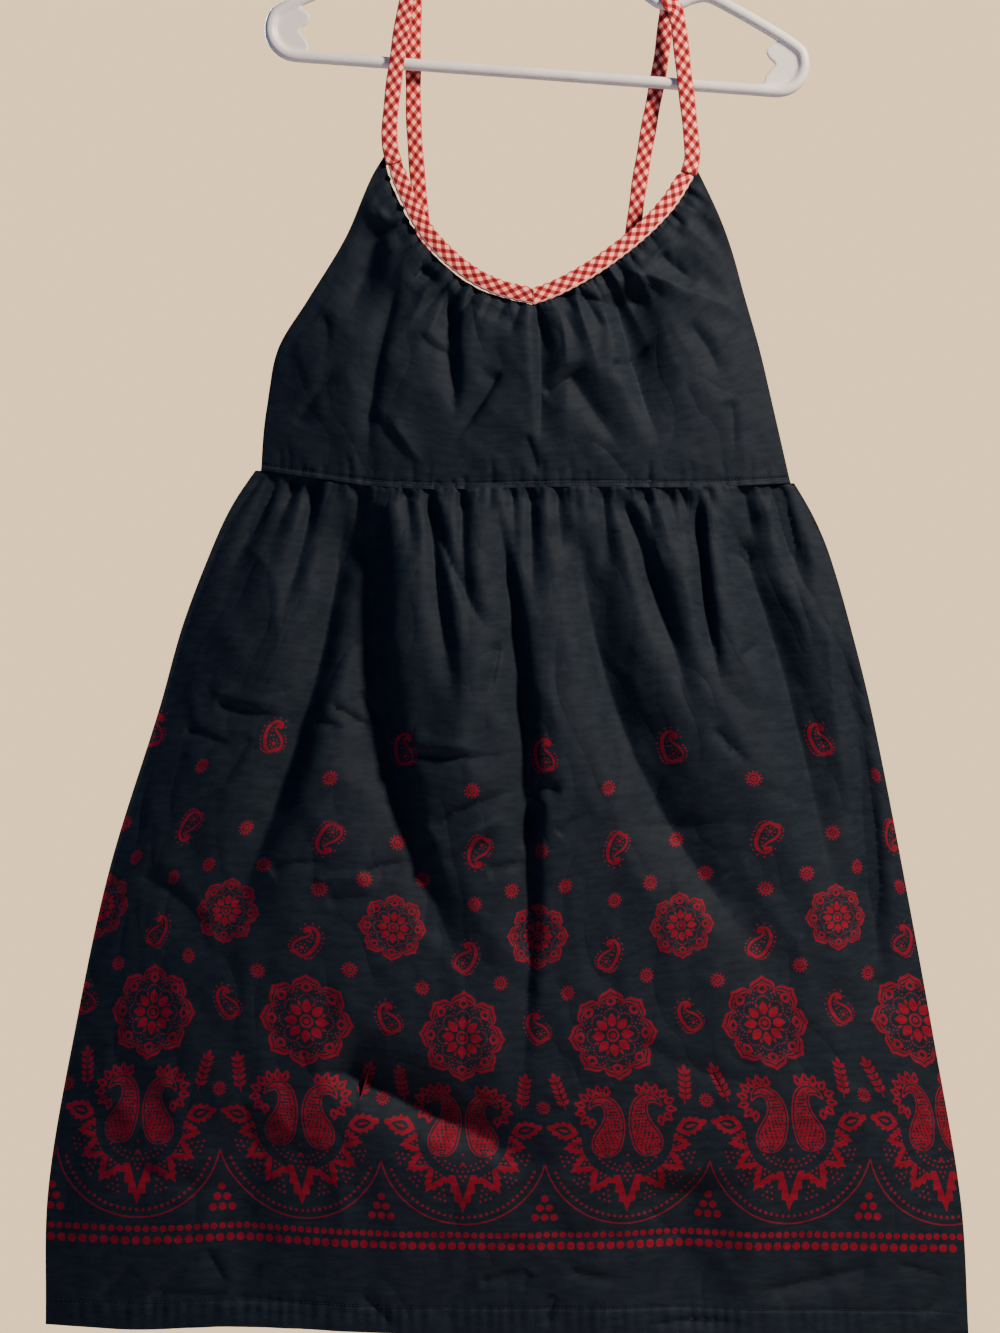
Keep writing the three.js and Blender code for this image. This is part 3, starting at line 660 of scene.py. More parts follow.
def disc(radius, at=(0, 0), sides=8):
    turn = np.linspace(0, 2 * np.pi, sides, endpoint=False)
    return np.stack([np.cos(turn), np.sin(turn)], axis=1) * radius + at


def dots(radius, places, sides=5):
    return [disc(radius, at, sides) for at in places]


def ring(outer, inner, sides=14):
    return [disc(radius, sides=sides) for radius in (outer, inner)]


def turned(shapes, degrees):
    c, s = math.cos(math.radians(degrees)), math.sin(math.radians(degrees))
    return [shape @ np.array([[c, s], [-s, c]]) for shape in shapes]


def moved(shapes, x, y):
    return [shape + (x, y) for shape in shapes]


def mirrored(shapes):
    return [shape * (-1, 1) for shape in shapes]


def anticlockwise(shape):
    """The outline in the order that the triangles need."""
    x, y = shape.T
    area = (x * np.roll(y, -1) - y * np.roll(x, -1)).sum()
    return shape if area > 0 else shape[::-1]


def around(shapes, count, start=0):
    """Copies of the shapes, turned evenly about the middle."""
    return [shape for i in range(count) for shape in turned(shapes, start + 360 * i / count)]


def beads(radius, count, bead, first=0, last=360, sides=6):
    """Dots on a circle or part of one."""
    turns = np.radians(np.linspace(first, last, count, endpoint=last - first < 360))
    return [disc(bead, (radius * math.cos(a), radius * math.sin(a)), sides) for a in turns]


def both_sides(half):
    """A closed outline from its right half, bottom to top."""
    return np.concatenate([half, (half * (-1, 1))[-2:0:-1]])


def leaf(near, far, width, points=5):
    """A pointed leaf that lies along +y."""
    t = np.linspace(0, 1, points + 1)
    half = width / 2 * np.sin(np.pi * t**0.8)
    return both_sides(np.stack([half, mix(near, far, t)], axis=1))


def blade(spine, halves, inset=0, steps=14):
    """A shape along a bent line, with a half width at each place. An inset makes it smaller all round."""
    fine = smooth_line(np.column_stack([spine, halves]), 60)
    if inset:
        fine = fine[(length_along(fine[:, :2]) >= inset) & (fine[:, 2] > inset + 0.3)]
    line = fine[np.linspace(0, len(fine) - 1, steps).round().astype(int)]
    run = unit(np.gradient(line[:, :2], axis=0))
    side = np.stack([-run[:, 1], run[:, 0]], axis=1) * np.maximum(line[:, 2:] - inset, 0.15)
    return np.concatenate([line[:, :2] + side, (line[:, :2] - side)[::-1]])


def lobed(radius, lobes=8):
    """A closed outline with pointed lobes, the first at the top."""
    profile = [1.0, 0.945, 0.925, 0.91, 0.87, 0.775]  # from a lobe's tip to the notch beside it
    factors = np.tile(profile + profile[-2:0:-1], lobes)
    turn = np.pi / 2 + 2 * np.pi * np.arange(len(factors)) / len(factors)
    return np.stack([np.cos(turn), np.sin(turn)], axis=1) * (radius * factors)[:, None]


def serrated(near, far, width, teeth=4):
    """A leaf along +y with a toothed edge."""
    t = np.linspace(0, 1, 2 * teeth + 1)
    half = width / 2 * np.sin(np.pi * t**0.75) * np.where(np.arange(len(t)) % 2, 1, 0.72)
    y = mix(near, far, t) + np.where(np.arange(len(t)) % 2, (far - near) * 0.05, 0)
    y[-1] = far
    return both_sides(np.stack([half, y], axis=1))


def arc_band(radius, width, first, last, steps=26):
    """A stroke along part of a circle."""
    turn = np.radians(np.linspace(first, last, steps))
    run = np.stack([np.cos(turn), np.sin(turn)], axis=1)
    return [np.concatenate([run * (radius + width / 2), run[::-1] * (radius - width / 2)])]


def chevron(near, far, width, thick):
    """A V with toothed arms that points along +y."""
    arm = [(0.5, 0), (0.58, 0.2), (0.42, 0.23), (0.46, 0.46), (0.29, 0.48), (0.3, 0.72), (0.14, 0.73)]
    right = np.array(arm) * (width, far - near) + (0, near)
    inner = [(-width / 2 + thick, near), (0, far - 2.4 * thick), (width / 2 - thick, near)]
    return np.concatenate([right, [(0, far)], (right * (-1, 1))[::-1], inner])


def eyelet():
    """A ringed dot in a circle of beads."""
    return ring(4.4, 2.9) + ring(2, 0.7, sides=8) + beads(5.25, 12, 0.8, sides=5)


def small_paisley():
    """A bent drop with a thick back, its head down and its tail curled over to the right."""
    spine = [(2.6, -12), (2.5, -11.3), (2.2, -9.9), (1.3, -7), (-0.4, -3.2), (-2.2, 0.6)]
    spine += [(-3.2, 4.2), (-2.7, 7.7), (-0.4, 10.2), (2.6, 10), (4, 7.8), (3.2, 6.2)]
    halves = [0.4, 3.3, 5.4, 7.2, 7.3, 6.2, 4.9, 3.9, 2.9, 2.4, 1.9, 0.3]
    body = [blade(spine, halves, steps=30), *moved([blade(spine, halves, 2.3, 24)], 0.4, 0.1)]
    seeds = [disc(1.4, (0.9, -5.2)), *moved(beads(3.2, 7, 0.7, sides=5), 0.9, -5.2)]
    seeds += dots(0.75, [(-2.6, 1.2), (-0.4, 1.2), (-2.4, 4.6), (-1.6, 7)])
    crook = (4, 4)  # too tight for beads
    outside = blade(spine, np.array(halves) + 2.1, steps=18)
    rim = dots(0.75, [at for at in outside if math.dist(at, crook) > 4.4])
    return body + seeds + rim


def medallion():
    """A flower inside beaded scallops and a lobed frame, 74 mm across."""
    frame_lines = [lobed(37), lobed(34.4), lobed(33), lobed(31.6)]
    buds = around([leaf(22.8, 31, 9.4), leaf(24.8, 29.2, 4.4, 4)], 8)
    buds += around(dots(0.9, [(-6.4, 25.8), (6.4, 25.8)]), 8)
    flower = around([leaf(6.6, 17.6, 7.4, 7)], 8) + around([leaf(12.6, 17.4, 2.2, 4)], 8, 22.5)
    turns = np.radians(np.linspace(-18, 18, 7))
    reach = 18.6 + 2.6 * np.cos(5 * turns)
    scallop = dots(0.75, np.stack([reach * np.sin(turns), reach * np.cos(turns)], axis=1))
    pollen = around(dots(0.75, [(0, 21.2), (-1.9, 24), (1.9, 24), (0, 27)]), 8, 22.5)
    heart = ring(5.4, 3.7) + [disc(2.3)]
    return frame_lines + buds + flower + around(scallop, 8) + pollen + heart


def sized(shapes, factor):
    return [shape * factor for shape in shapes]


def crested_paisley():
    """The right one of a pair. It leans in at the neck, and its tip turns out into a plume of leaves."""
    spine = [(22.4, -17), (22.2, -16), (21.6, -14), (20, -9.5), (17.5, -3)]
    spine += [(12, 11), (11, 22), (13.5, 31), (20, 36), (27.5, 34), (32, 28)]
    halves = [0, 5.2, 8.6, 12, 13.4, 10.8, 8.4, 6.8, 5, 3.4, 0.9]
    body = [blade(spine, halves, inset, 26) for inset in (0, 1.2, 2.6)]
    lace = []
    filling = smooth_line(np.column_stack([spine[2:9], halves[2:9]]), 20)
    for i, (x, y, half) in enumerate(filling):
        across = np.linspace(-1, 1, 5 if half > 10 else 4 if half > 7 else 3)
        stagger = 0.9 if i % 2 else -0.9
        for j, share in enumerate(across):
            at = (x + stagger + share * (half - 4.9), y + uneven(5 * i + 3 * j, -0.4, 0.4))
            lace.append(disc(uneven(7 * i + j, 0.8, 1.35), at, 6))
    crown = [(15, 41, 104), (21, 42, 84), (27, 40.5, 64), (32.5, 37, 42)]
    crown += [(36, 31.5, 18), (36.5, 25.5, -10), (34, 20, -42), (29.5, 18, -80)]
    feather = [serrated(-2, 8.5, 8.4, 3), leaf(0.5, 6, 2.4, 4)]
    plume = []
    for x, y, angle in crown:
        plume += moved(turned(feather, angle - 90), x, y)
    return body + lace + plume


# Leaves of the wreath: angle from straight down, where its base and tip lie from the middle, and width.
WREATH_LEAVES = [(0, 31, 63, 22), (33, 35, 55.5, 17.5), (58.5, 36, 54, 16), (81.5, 36.5, 52, 14.5)]
WREATH_GAPS = [19.5, 46.5, 70.5]


def leaf_wreath():
    """Toothed leaves that point out under the pair, with dots in and between them and a large leaf at
    each side."""
    leaves, dust = [], []
    for angle, near, far, width in WREATH_LEAVES:
        one = [chevron(near, far, width, 0.21 * width)]
        one += dots(1.1, [(-2.1, near + 1), (2.1, near + 1), (0, near + 4.5)], 6)
        for side in (-angle, angle) if angle else (0,):
            leaves += turned(one, 180 + side)
    rows = [(46.5, (0,)), (50.8, (-2.2, 2.2)), (55, (-4.3, 0, 4.3))]
    gap = dots(1.05, [(x, y) for y, row in rows for x in row])
    for angle in WREATH_GAPS:
        dust += turned(gap, 180 + angle) + turned(gap, 180 - angle)
    dust += beads(28, 15, 1.05, -152, -28, 5) + beads(24, 8, 0.9, -126, -54, 5)
    sides = moved(turned([serrated(0, 26, 17, 5), leaf(5, 20, 8.2), leaf(8, 17, 2.4, 4)], -76), 39, 5)
    return leaves + dust + sides + mirrored(sides)


def garland():
    """A pair of paisleys over a wreath of leaves, inside a beaded scallop. Its middle is 160 mm above the
    hem."""
    pair = sized(crested_paisley(), 0.92)
    scallop = arc_band(68, 1.1, -166, -14) + beads(62, 31, 1.35, -158, -22)
    middle = [disc(1.7, (0, -22), 7), disc(1.1, (0, -14), 6)]
    return moved(pair + mirrored(pair) + leaf_wreath() + middle, 0, 160) + moved(scallop, 0, 155)


def sprig():
    """A stem with paired leaves, growing upwards."""
    shapes = [np.array([(-0.45, 0), (0.45, 0), (0.4, 27), (-0.4, 27)]), leaf(27, 33, 3.6)]
    for y in range(4, 27, 5):
        side = moved(turned([leaf(0.9, 7.2, 3.4)], -48), 0, y)
        shapes += side + mirrored(side)
    return shapes


def pyramid():
    """Six dots in rows of three, two and one."""
    rows = ((-8, (-7.6, 0, 7.6)), (0, (-3.8, 3.8)), (8, (0,)))
    return dots(3.1, [(x, y) for y, row in rows for x in row], 9)


def drawn_out(motif, y):
    """Wider by the share of the cloth that gathers too fine for the mesh take up at that height."""
    kept = np.interp(y, PRINT_SQUEEZE["height"], PRINT_SQUEEZE["width"])
    return [shape / (kept, 1) for shape in motif]


def print_shapes():
    """The whole border across one panel. Each repeat is centred on a garland, with a column between two."""
    on_garland = [
        (eyelet(), 0, 436),
        (turned(mirrored(small_paisley()), 164), 8, 390),
        (eyelet(), 6, 350),
        (turned(mirrored(small_paisley()), -22), 0, 308),
        (medallion(), 0, 246),
        (garland(), 0, 0),
        (eyelet(), -38, 282),
        (eyelet(), 33, 290),
    ]
    between = [
        (turned(small_paisley(), 4), 0, 463),
        (eyelet(), 0, 391),
        (eyelet(), -26, 361),
        (eyelet(), 24, 364),
        (sized(medallion(), 0.7), 0, 326),
        (turned(small_paisley(), 22), 1, 255),
        (turned(sprig(), -12), -18, 186),
        (turned(sprig(), 12), 18, 186),
        (eyelet(), 0, 188),
        (pyramid(), 0, 101),
    ]
    shapes = []
    for n in range(-1, 7):  # every repeat that reaches the panel
        middle = (SIDE_LEFT - 0.5 + n) * REPEAT
        for column, start in ((on_garland, middle), (between, middle + REPEAT / 2)):
            for motif, x, y in column:
                shapes += moved(drawn_out(motif, y), start + x, y)
    for bead, y, pitch in ((2.6, 78, 6.5), (3.3, 69, 8)):
        shapes += dots(bead, [(x, y) for x in np.arange(4, PANEL_WIDTH - 3, pitch)], 9)
    inside = [s for s in shapes if s[:, 0].max() > 1 and s[:, 0].min() < PANEL_WIDTH - 1]
    return [anticlockwise(shape) for shape in inside]


# Shells


def scattered_rows(width, length, pitch):
    """Staggered rows of places over a flat cut, with a pitch that depends on the height."""
    rows = []
    y = pitch(0) * 0.8
    n = 0
    while y < length - 0.5 * pitch(y):
        step = pitch(y)
        x = np.arange(step * (0.5 + 0.5 * (n % 2)), width - 0.4 * step, step)
        rows.append(np.stack([x, np.full(len(x), y)], axis=1))
        y += step * 0.87  # near enough even triangles
        n += 1
    return np.concatenate(rows)


def bent_places(surface, width, length, fine):
    """Places in closer rows, kept only where the hanging cloth bends sharply."""
    places = scattered_rows(width, length, lambda y: fine)
    bend = np.zeros(len(places))
    here = surface(places)
    for step in np.array([(fine, 0), (0, fine)]):
        ahead, behind = surface(places + step), surface(places - step)
        bend = np.maximum(bend, np.linalg.norm(ahead + behind - 2 * here, axis=1))
    return places[bend > SHARP_BEND * (fine / SKIRT_FINE) ** 2]


def rim_places(width, length, pitch):
    """Places round the edge of a flat cut, from its lower left corner, anticlockwise."""
    across = np.linspace(0, width, max(2, round(width / pitch)) + 1)
    up = np.linspace(0, length, max(2, round(length / pitch)) + 1)
    sides = [
        np.stack([across[:-1], np.zeros(len(across) - 1)], axis=1),
        np.stack([np.full(len(up) - 1, width), up[:-1]], axis=1),
        np.stack([across[:0:-1], np.full(len(across) - 1, length)], axis=1),
        np.stack([np.zeros(len(up) - 1), up[:0:-1]], axis=1),
    ]
    return np.concatenate(sides)


def cut_cloth(rim, inside, shapes):
    """Triangles of a flat cut that follow the printed shapes. Gives its places, its triangles, and which of
    those are inked: inside an odd number of shapes."""
    places = [rim, inside, *shapes]
    starts = np.cumsum([0] + [len(p) for p in places])
    loops = [list(range(a, b)) for a, b in zip(starts[2:], starts[3:])]
    edges = [(i, (i + 1) % len(rim)) for i in range(len(rim))]
    flat = [Vector(p) for p in np.concatenate(places)]
    verts, _, faces, _, _, owners = delaunay_2d_cdt(flat, edges, loops, 0, 1e-4, True)
    verts = np.array(verts)
    low, high = rim.min(axis=0), rim.max(axis=0)
    middle = verts[np.array(faces)].mean(axis=1)
    keep = ((middle > low) & (middle < high)).all(axis=1)
    faces = np.array(faces)[keep]
    inked = np.array([len(o) % 2 for o, k in zip(owners, keep) if k], bool)
    used, faces = np.unique(faces, return_inverse=True)
    return verts[used], faces.reshape(-1, 3), inked


def rim_order(flat, width, length):
    """Indices of the places on the edge of a flat cut, anticlockwise from the lower left corner."""
    x, y = flat.T
    tiny = 1e-3
    perimeter = np.full(len(flat), -1.0)
    for on_side, run in (
        (x < tiny, 2 * width + 2 * length - y),
        (y > length - tiny, 2 * width + length - x),
        (x > width - tiny, width + y),
        (y < tiny, x),
    ):
        perimeter[on_side] = run[on_side]
    on_rim = np.flatnonzero(perimeter >= 0)
    return on_rim[np.argsort(perimeter[on_rim])]


def surface_normals(surface, flat, here):
    """Outward normals, from a short step across and up the cloth."""
    step = 0.5
    return unit(np.cross(surface(flat + (step, 0)) - here, surface(flat + (0, step)) - here))


def far_from(places, others, gaps):
    """The places that keep a gap from all the others."""
    if len(others) == 0:
        return places
    tree = kdtree.KDTree(len(others))
    for i, (a, b) in enumerate(others):
        tree.insert((a, b, 0), i)
    tree.balance()
    gaps = np.broadcast_to(gaps, len(places))
    keep = [tree.find((a, b, 0))[2] > gap for (a, b), gap in zip(places, gaps)]
    return places[np.array(keep)]


def lining_side(surface, flat, step):
    """Points and outward normals behind the cloth. They are set back by its thickness and by as much as the
    lining's coarser triangles would cut off."""
    cloth = surface(flat)
    normal = surface_normals(surface, flat, cloth)
    cut_off = np.zeros(len(flat))
    for shift in np.array([(step, 0), (0, step)]):
        chord = (surface(flat + shift) + surface(flat - shift)) / 2 - cloth
        cut_off = np.maximum(cut_off, (chord * normal).sum(axis=1))
    return cloth - (CLOTH + cut_off)[:, None] * normal, normal


def cloth_shell(name, surface, cut, pitch, fine, lining_pitch, materials, shapes=()):
    """A closed shell of cloth: the outside is cut along the print, the lining side is plainer."""
    width, length = cut
    bent = bent_places(surface, width, length, fine)
    coarse = far_from(scattered_rows(width, length, pitch), bent, 0.9 * fine)
    inside = np.concatenate([bent, coarse])
    if shapes:
        inside = far_from(inside, np.concatenate(shapes), 0.6 * fine)
    flat, faces, inked = cut_cloth(rim_places(width, length, pitch(length / 2)), inside, shapes)
    order = rim_order(flat, width, length)
    outer = surface(flat)
    outer_normal = surface_normals(surface, flat, outer)

    inside = scattered_rows(width, length, lining_pitch)
    gaps = [0.4 * lining_pitch(y) for _, y in inside]
    lining, lining_faces, _ = cut_cloth(flat[order], far_from(inside, flat[order], gaps), ())
    lining_faces = lining_faces[:, ::-1]
    lining_order = rim_order(lining, width, length) + len(flat)
    inner, inner_normal = lining_side(surface, lining, lining_pitch(length / 2) / 2)

    a, b = order, np.roll(order, -1)
    c, d = lining_order, np.roll(lining_order, -1)
    rim_faces = np.concatenate([np.stack([b, a, c], axis=1), np.stack([b, c, d], axis=1)])
    points = np.concatenate([outer, inner])
    first, second, third = (points[rim_faces[:, i]] for i in range(3))
    rim_normal = unit(np.cross(second - first, third - first))
    normals = [
        outer_normal[faces].reshape(-1, 3),
        -inner_normal[lining_faces].reshape(-1, 3),
        np.repeat(rim_normal, 3, axis=0),
    ]
    all_faces = np.concatenate([faces, lining_faces + len(flat), rim_faces])
    slots = np.concatenate([inked.astype(int), np.zeros(len(lining_faces) + len(rim_faces), int)])
    cloth_flat = np.concatenate([flat, lining])
    return make_piece(name, points, all_faces, cloth_flat, materials, slots, np.concatenate(normals))


def make_piece(name, points, faces, flat, materials, slots=None, normals=None):
    """A mesh object from points and flat-cloth places in millimetres, with a UV map of the flat cloth."""
    mesh = bpy.data.meshes.new(name)
    mesh.from_pydata((np.asarray(points) * MM).tolist(), [], [list(map(int, face)) for face in faces])
    loops = np.empty(len(mesh.loops), np.int32)
    mesh.loops.foreach_get("vertex_index", loops)
    uv = mesh.uv_layers.new(name="flat_cloth")
    uv.data.foreach_set("uv", (np.asarray(flat)[loops] * MM).astype(np.float32).ravel())
    for material in materials:
        mesh.materials.append(material)
    if slots is not None:
        mesh.polygons.foreach_set("material_index", np.asarray(slots, np.int32))
    mesh.polygons.foreach_set("use_smooth", np.ones(len(mesh.polygons), bool))
    if normals is not None:
        mesh.normals_split_custom_set(np.asarray(normals).tolist())
    mesh.update()
    piece = bpy.data.objects.new(name, mesh)
    bpy.context.collection.objects.link(piece)
    return piece


def tape(name, middles, across, outward, widths, thickness, materials, painted_highlight_edge=False):
    """A folded tape along a line: a flat rounded section, closed at both ends. If asked, the folded edge on
    its low side takes the second material: a pale painted highlight where the fold catches the light."""
    corners = 18
    turn = np.linspace(0, 2 * np.pi, corners, endpoint=False) + np.pi / corners
    side = np.sign(np.cos(turn)) * np.abs(np.cos(turn)) ** 0.55
    rise = np.sign(np.sin(turn)) * np.abs(np.sin(turn)) ** 0.75
    low, high = widths
    reach = np.where(side > 0, side * high[:, None], side * low[:, None])
    points = middles[:, None] + across[:, None] * reach[..., None]
    points = points + outward[:, None] * (rise * thickness / 2)[:, None]
    steps = np.repeat(length_along(middles)[:, None], corners, axis=1)
    flat = np.stack([steps, reach], axis=2)
    faces, slots = [], []
    last = (len(middles) - 1) * corners
    for near in range(0, last, corners):
        for c in range(corners):
            d = (c + 1) % corners
            faces.append([near + c, near + corners + c, near + corners + d, near + d])
            # faces on the folded low edge take the pale painted highlight
            slots.append(int(painted_highlight_edge and min(side[c], side[d]) < -EDGE_HIGHLIGHT_FROM))
    faces += [list(range(corners)), [last + c for c in range(corners)][::-1]]
    slots += [0, 0]
    return make_piece(name, points.reshape(-1, 3), faces, flat.reshape(-1, 2), materials, slots)


def stitches(name, middles, along, outward, length, materials):
    """A row of sewn stitches: a low grain with tapered ends for each."""
    section = np.array([(-0.5, -0.2), (-0.25, 0.35), (0.25, 0.35), (0.5, -0.2)]) * THREAD_WIDTH
    across = np.cross(along, outward)
    points, faces, flat = [], [], []
    for middle, run, out, side in zip(middles, along, outward, across):
        start = len(points)
        for shift, size in ((-0.5, 0.35), (-0.3, 1), (0.3, 1), (0.5, 0.35)):
            for reach, rise in section * size:
                points.append(middle + run * shift * length + side * reach + out * (rise + 0.15))
                flat.append((shift * length, reach))
        for near in range(start, start + 12, 4):
            for c in range(4):
                d = (c + 1) % 4
                faces.append([near + c, near + d, near + 4 + d, near + 4 + c])
        faces += [[start + i for i in (3, 2, 1, 0)], [start + i for i in (12, 13, 14, 15)]]
    return make_piece(name, points, faces, flat, materials)


# Materials


def colour(code):
    """An sRGB hex colour as linear red, green, blue and alpha."""
    parts = [int(code[i : i + 2], 16) / 255 for i in (1, 3, 5)]
    return (*(c / 12.92 if c <= 0.04045 else ((c + 0.055) / 1.055) ** 2.4 for c in parts), 1)


def add_node(material, kind, inputs=None, **settings):
    """Adds one node, with its settings, its socket values and its links."""
    node = material.node_tree.nodes.new(kind)
    for name, value in settings.items():
        setattr(node, name, value)
    for socket, value in (inputs or {}).items():
        if isinstance(value, bpy.types.NodeSocket):
            material.node_tree.links.new(value, node.inputs[socket])
        else:
            node.inputs[socket].default_value = value
    return node


def new_material(name):
    material = bpy.data.materials.new(name)
    material.use_nodes = True
    material.node_tree.nodes.clear()
    return material


def ramp_stops(node, stops):
    elements = node.color_ramp.elements
    while len(elements) < len(stops):
        elements.new(0.5)
    for element, (place, code) in zip(elements, stops):
        element.position = place
        element.color = colour(code)


def band_scale(period_mm):
    """The Wave texture's scale for bands that repeat after so many millimetres of UV in metres."""
    return 2 * math.pi / 20 / (period_mm * MM)


def crinkles(material, flat, cell_mm, depth_mm, normal=None):
    """Fine relief of small sharp creases in washed cotton, over any relief given before."""
    stretched = add_node(material, "ShaderNodeMapping", {"Vector": flat, "Scale": (1, 0.6, 1)})
    lumps = add_node(
        material,
        "ShaderNodeTexNoise",
        {
            "Vector": stretched.outputs["Vector"],
            "Scale": 1 / (cell_mm * MM),
            "Detail": 0.6,
            "Distortion": 0.5,
        },
    )
    level = add_node(material, "ShaderNodeMath", {0: lumps.outputs["Fac"], 1: 0.5}, operation="SUBTRACT")
    ridges = add_node(material, "ShaderNodeMath", {0: level.outputs["Value"]}, operation="ABSOLUTE")
    inputs = {"Height": ridges.outputs["Value"], "Strength": 1.0, "Distance": depth_mm * MM}
    if normal:
        inputs["Normal"] = normal
    return add_node(material, "ShaderNodeBump", inputs).outputs["Normal"]


def cotton(name, dark, light, roughness, sheen, creased_cloth=False):
    """Plain-weave cotton, dyed and washed: matt, with a slight sheen, faint slubs and a fine weave."""
    material = new_material(name)
    flat = add_node(material, "ShaderNodeUVMap", uv_map="flat_cloth").outputs["UV"]
    # The threads are about 0.3 mm apart, which is too fine to show, so the weave is drawn at 1.3 mm.
    threads = [
        add_node(
            material,
            "ShaderNodeTexWave",
            {
                "Vector": flat,
                "Scale": band_scale(1.3),
                "Distortion": 1.2,
                "Detail": 1.0,
                "Detail Scale": 2.0,
            },
            bands_direction=direction,
        ).outputs["Fac"]
        for direction in ("X", "Y")
    ]
    weave = add_node(material, "ShaderNodeMath", {0: threads[0], 1: threads[1]}, operation="ADD")
    along_weft = add_node(material, "ShaderNodeMapping", {"Vector": flat, "Scale": (0.3, 1, 1)})
    slub = add_node(
        material,
        "ShaderNodeTexNoise",
        {"Vector": along_weft.outputs["Vector"], "Scale": 1 / (5 * MM), "Detail": 4.0, "Roughness": 0.65},
    )
    shade = add_node(material, "ShaderNodeValToRGB", {"Fac": slub.outputs["Fac"]})
    ramp_stops(shade, [(0.3, dark), (0.72, light)])
    relief = {"Height": weave.outputs["Value"], "Strength": 0.12, "Distance": 0.3 * MM}
    if creased_cloth:
        relief["Normal"] = crinkles(material, flat, 14, 0.45, crinkles(material, flat, 42, 5))
    bump = add_node(material, "ShaderNodeBump", relief)
    shader = add_node(
        material,
        "ShaderNodeBsdfPrincipled",
        {
            "Base Color": shade.outputs["Color"],
            "Normal": bump.outputs["Normal"],
            "Roughness": roughness,
            "IOR": 1.46,
            "Specular IOR Level": 0.1,
            "Sheen Weight": sheen,
            "Sheen Roughness": 0.4,
            "Sheen Tint": colour("#8fa6c8"),
        },
    )
    add_node(material, "ShaderNodeOutputMaterial", {"Surface": shader.outputs["BSDF"]})
    return material


def gingham():
    """Yarn-dyed gingham with checks of an eighth of an inch, cut on the bias, which draws it longer and
    narrower: matt, with paler checks where white yarns cross."""
    check = 3.2
    longer = 1.15
    narrower = 0.87
    material = new_material("bias_gingham_cotton")
    flat = add_node(material, "ShaderNodeUVMap", uv_map="flat_cloth").outputs["UV"]
    bias = add_node(
        material,
        "ShaderNodeMapping",
        {"Vector": flat, "Scale": (1 / longer, 1 / narrower, 1), "Rotation": (0, 0, math.pi / 4)},
    )
    stripes = []
    for direction in ("X", "Y"):
        wave = add_node(
            material,
            "ShaderNodeTexWave",
            {"Vector": bias.outputs["Vector"], "Scale": band_scale(2 * check)},
            bands_direction=direction,
        )
        edge = add_node(
            material,
            "ShaderNodeMapRange",
            {
                "Value": wave.outputs["Fac"],
                "From Min": 0.38,
                "From Max": 0.62,
                "To Min": 0.0,
                "To Max": 0.5,
            },
        )
        stripes.append(edge.outputs["Result"])
    checks = add_node(material, "ShaderNodeMath", {0: stripes[0], 1: stripes[1]}, operation="ADD")
    shade = add_node(material, "ShaderNodeValToRGB", {"Fac": checks.outputs["Value"]})
    ramp_stops(shade, [(0.0, "#ffb8a4"), (0.5, "#c23b3c"), (1.0, "#6c0108")])
    # Real threads are 0.3 mm apart; drawn at 0.9 mm so that they show.
    thread = add_node(
        material,
        "ShaderNodeTexWave",
        {"Vector": bias.outputs["Vector"], "Scale": band_scale(0.9), "Distortion": 0.6},
    )
    relief = {"Height": thread.outputs["Fac"], "Strength": 0.2, "Distance": 0.2 * MM}
    bump = add_node(material, "ShaderNodeBump", relief)
    shader = add_node(
        material,
        "ShaderNodeBsdfPrincipled",
        {
            "Base Color": shade.outputs["Color"],
            "Normal": bump.outputs["Normal"],
            "Roughness": 0.82,
            "IOR": 1.46,
            "Specular IOR Level": 0.3,
            "Sheen Weight": 0.12,
        },
    )
    add_node(material, "ShaderNodeOutputMaterial", {"Surface": shader.outputs["BSDF"]})
    return material


def hanger_plastic():
    """Injection-moulded polypropylene: white, smooth and softly glossy, with faint flow marks."""
    material = new_material("moulded_polypropylene")
    place = add_node(material, "ShaderNodeTexCoord").outputs["Object"]
    marks = {"Vector": place, "Scale": 1 / (20 * MM), "Detail": 2.0}
    flow = add_node(material, "ShaderNodeTexNoise", marks)
    shade = add_node(material, "ShaderNodeValToRGB", {"Fac": flow.outputs["Fac"]})
    ramp_stops(shade, [(0.3, "#d9d7d4"), (0.7, "#e3e1de")])
    relief = {"Height": flow.outputs["Fac"], "Strength": 0.05, "Distance": 1 * MM}
    bump = add_node(material, "ShaderNodeBump", relief)
    shader = add_node(
        material,
        "ShaderNodeBsdfPrincipled",
        {
            "Base Color": shade.outputs["Color"],
            "Normal": bump.outputs["Normal"],
            "Roughness": 0.36,
            "IOR": 1.49,
        },
    )
    add_node(material, "ShaderNodeOutputMaterial", {"Surface": shader.outputs["BSDF"]})
    return material


navy_cotton = cotton("piece_dyed_navy_cotton", "#0f1720", "#1a232d", 0.68, 0.03, creased_cloth=True)
red_print = cotton("red_pigment_print_on_cotton", "#5e0819", "#7e1228", 0.75, 0.02, creased_cloth=True)
# A pale pink painted highlight for the folded edge of the neck binding, where the fold catches the light.
edge_highlight_paint = cotton("painted_edge_highlight_cotton", "#e39a8b", "#eeb0a2", 0.85, 0.1)
navy_thread = cotton("navy_sewing_thread", "#161c24", "#1f2630", 0.7, 0.03)
check_cotton = gingham()
white_plastic = hanger_plastic()


# Panels


def skirt_pitch(y):
    """How far apart the mesh's rows are at a height on the flat cloth: closer by the gathered waist."""
    return mix(4.6, 2.7, float(ease(y, 500, 590)))


def skirt_lining_pitch(y):
    """The same for the lining side, which needs fewer triangles."""
    return mix(9, 4, float(ease(y, 500, 590)))


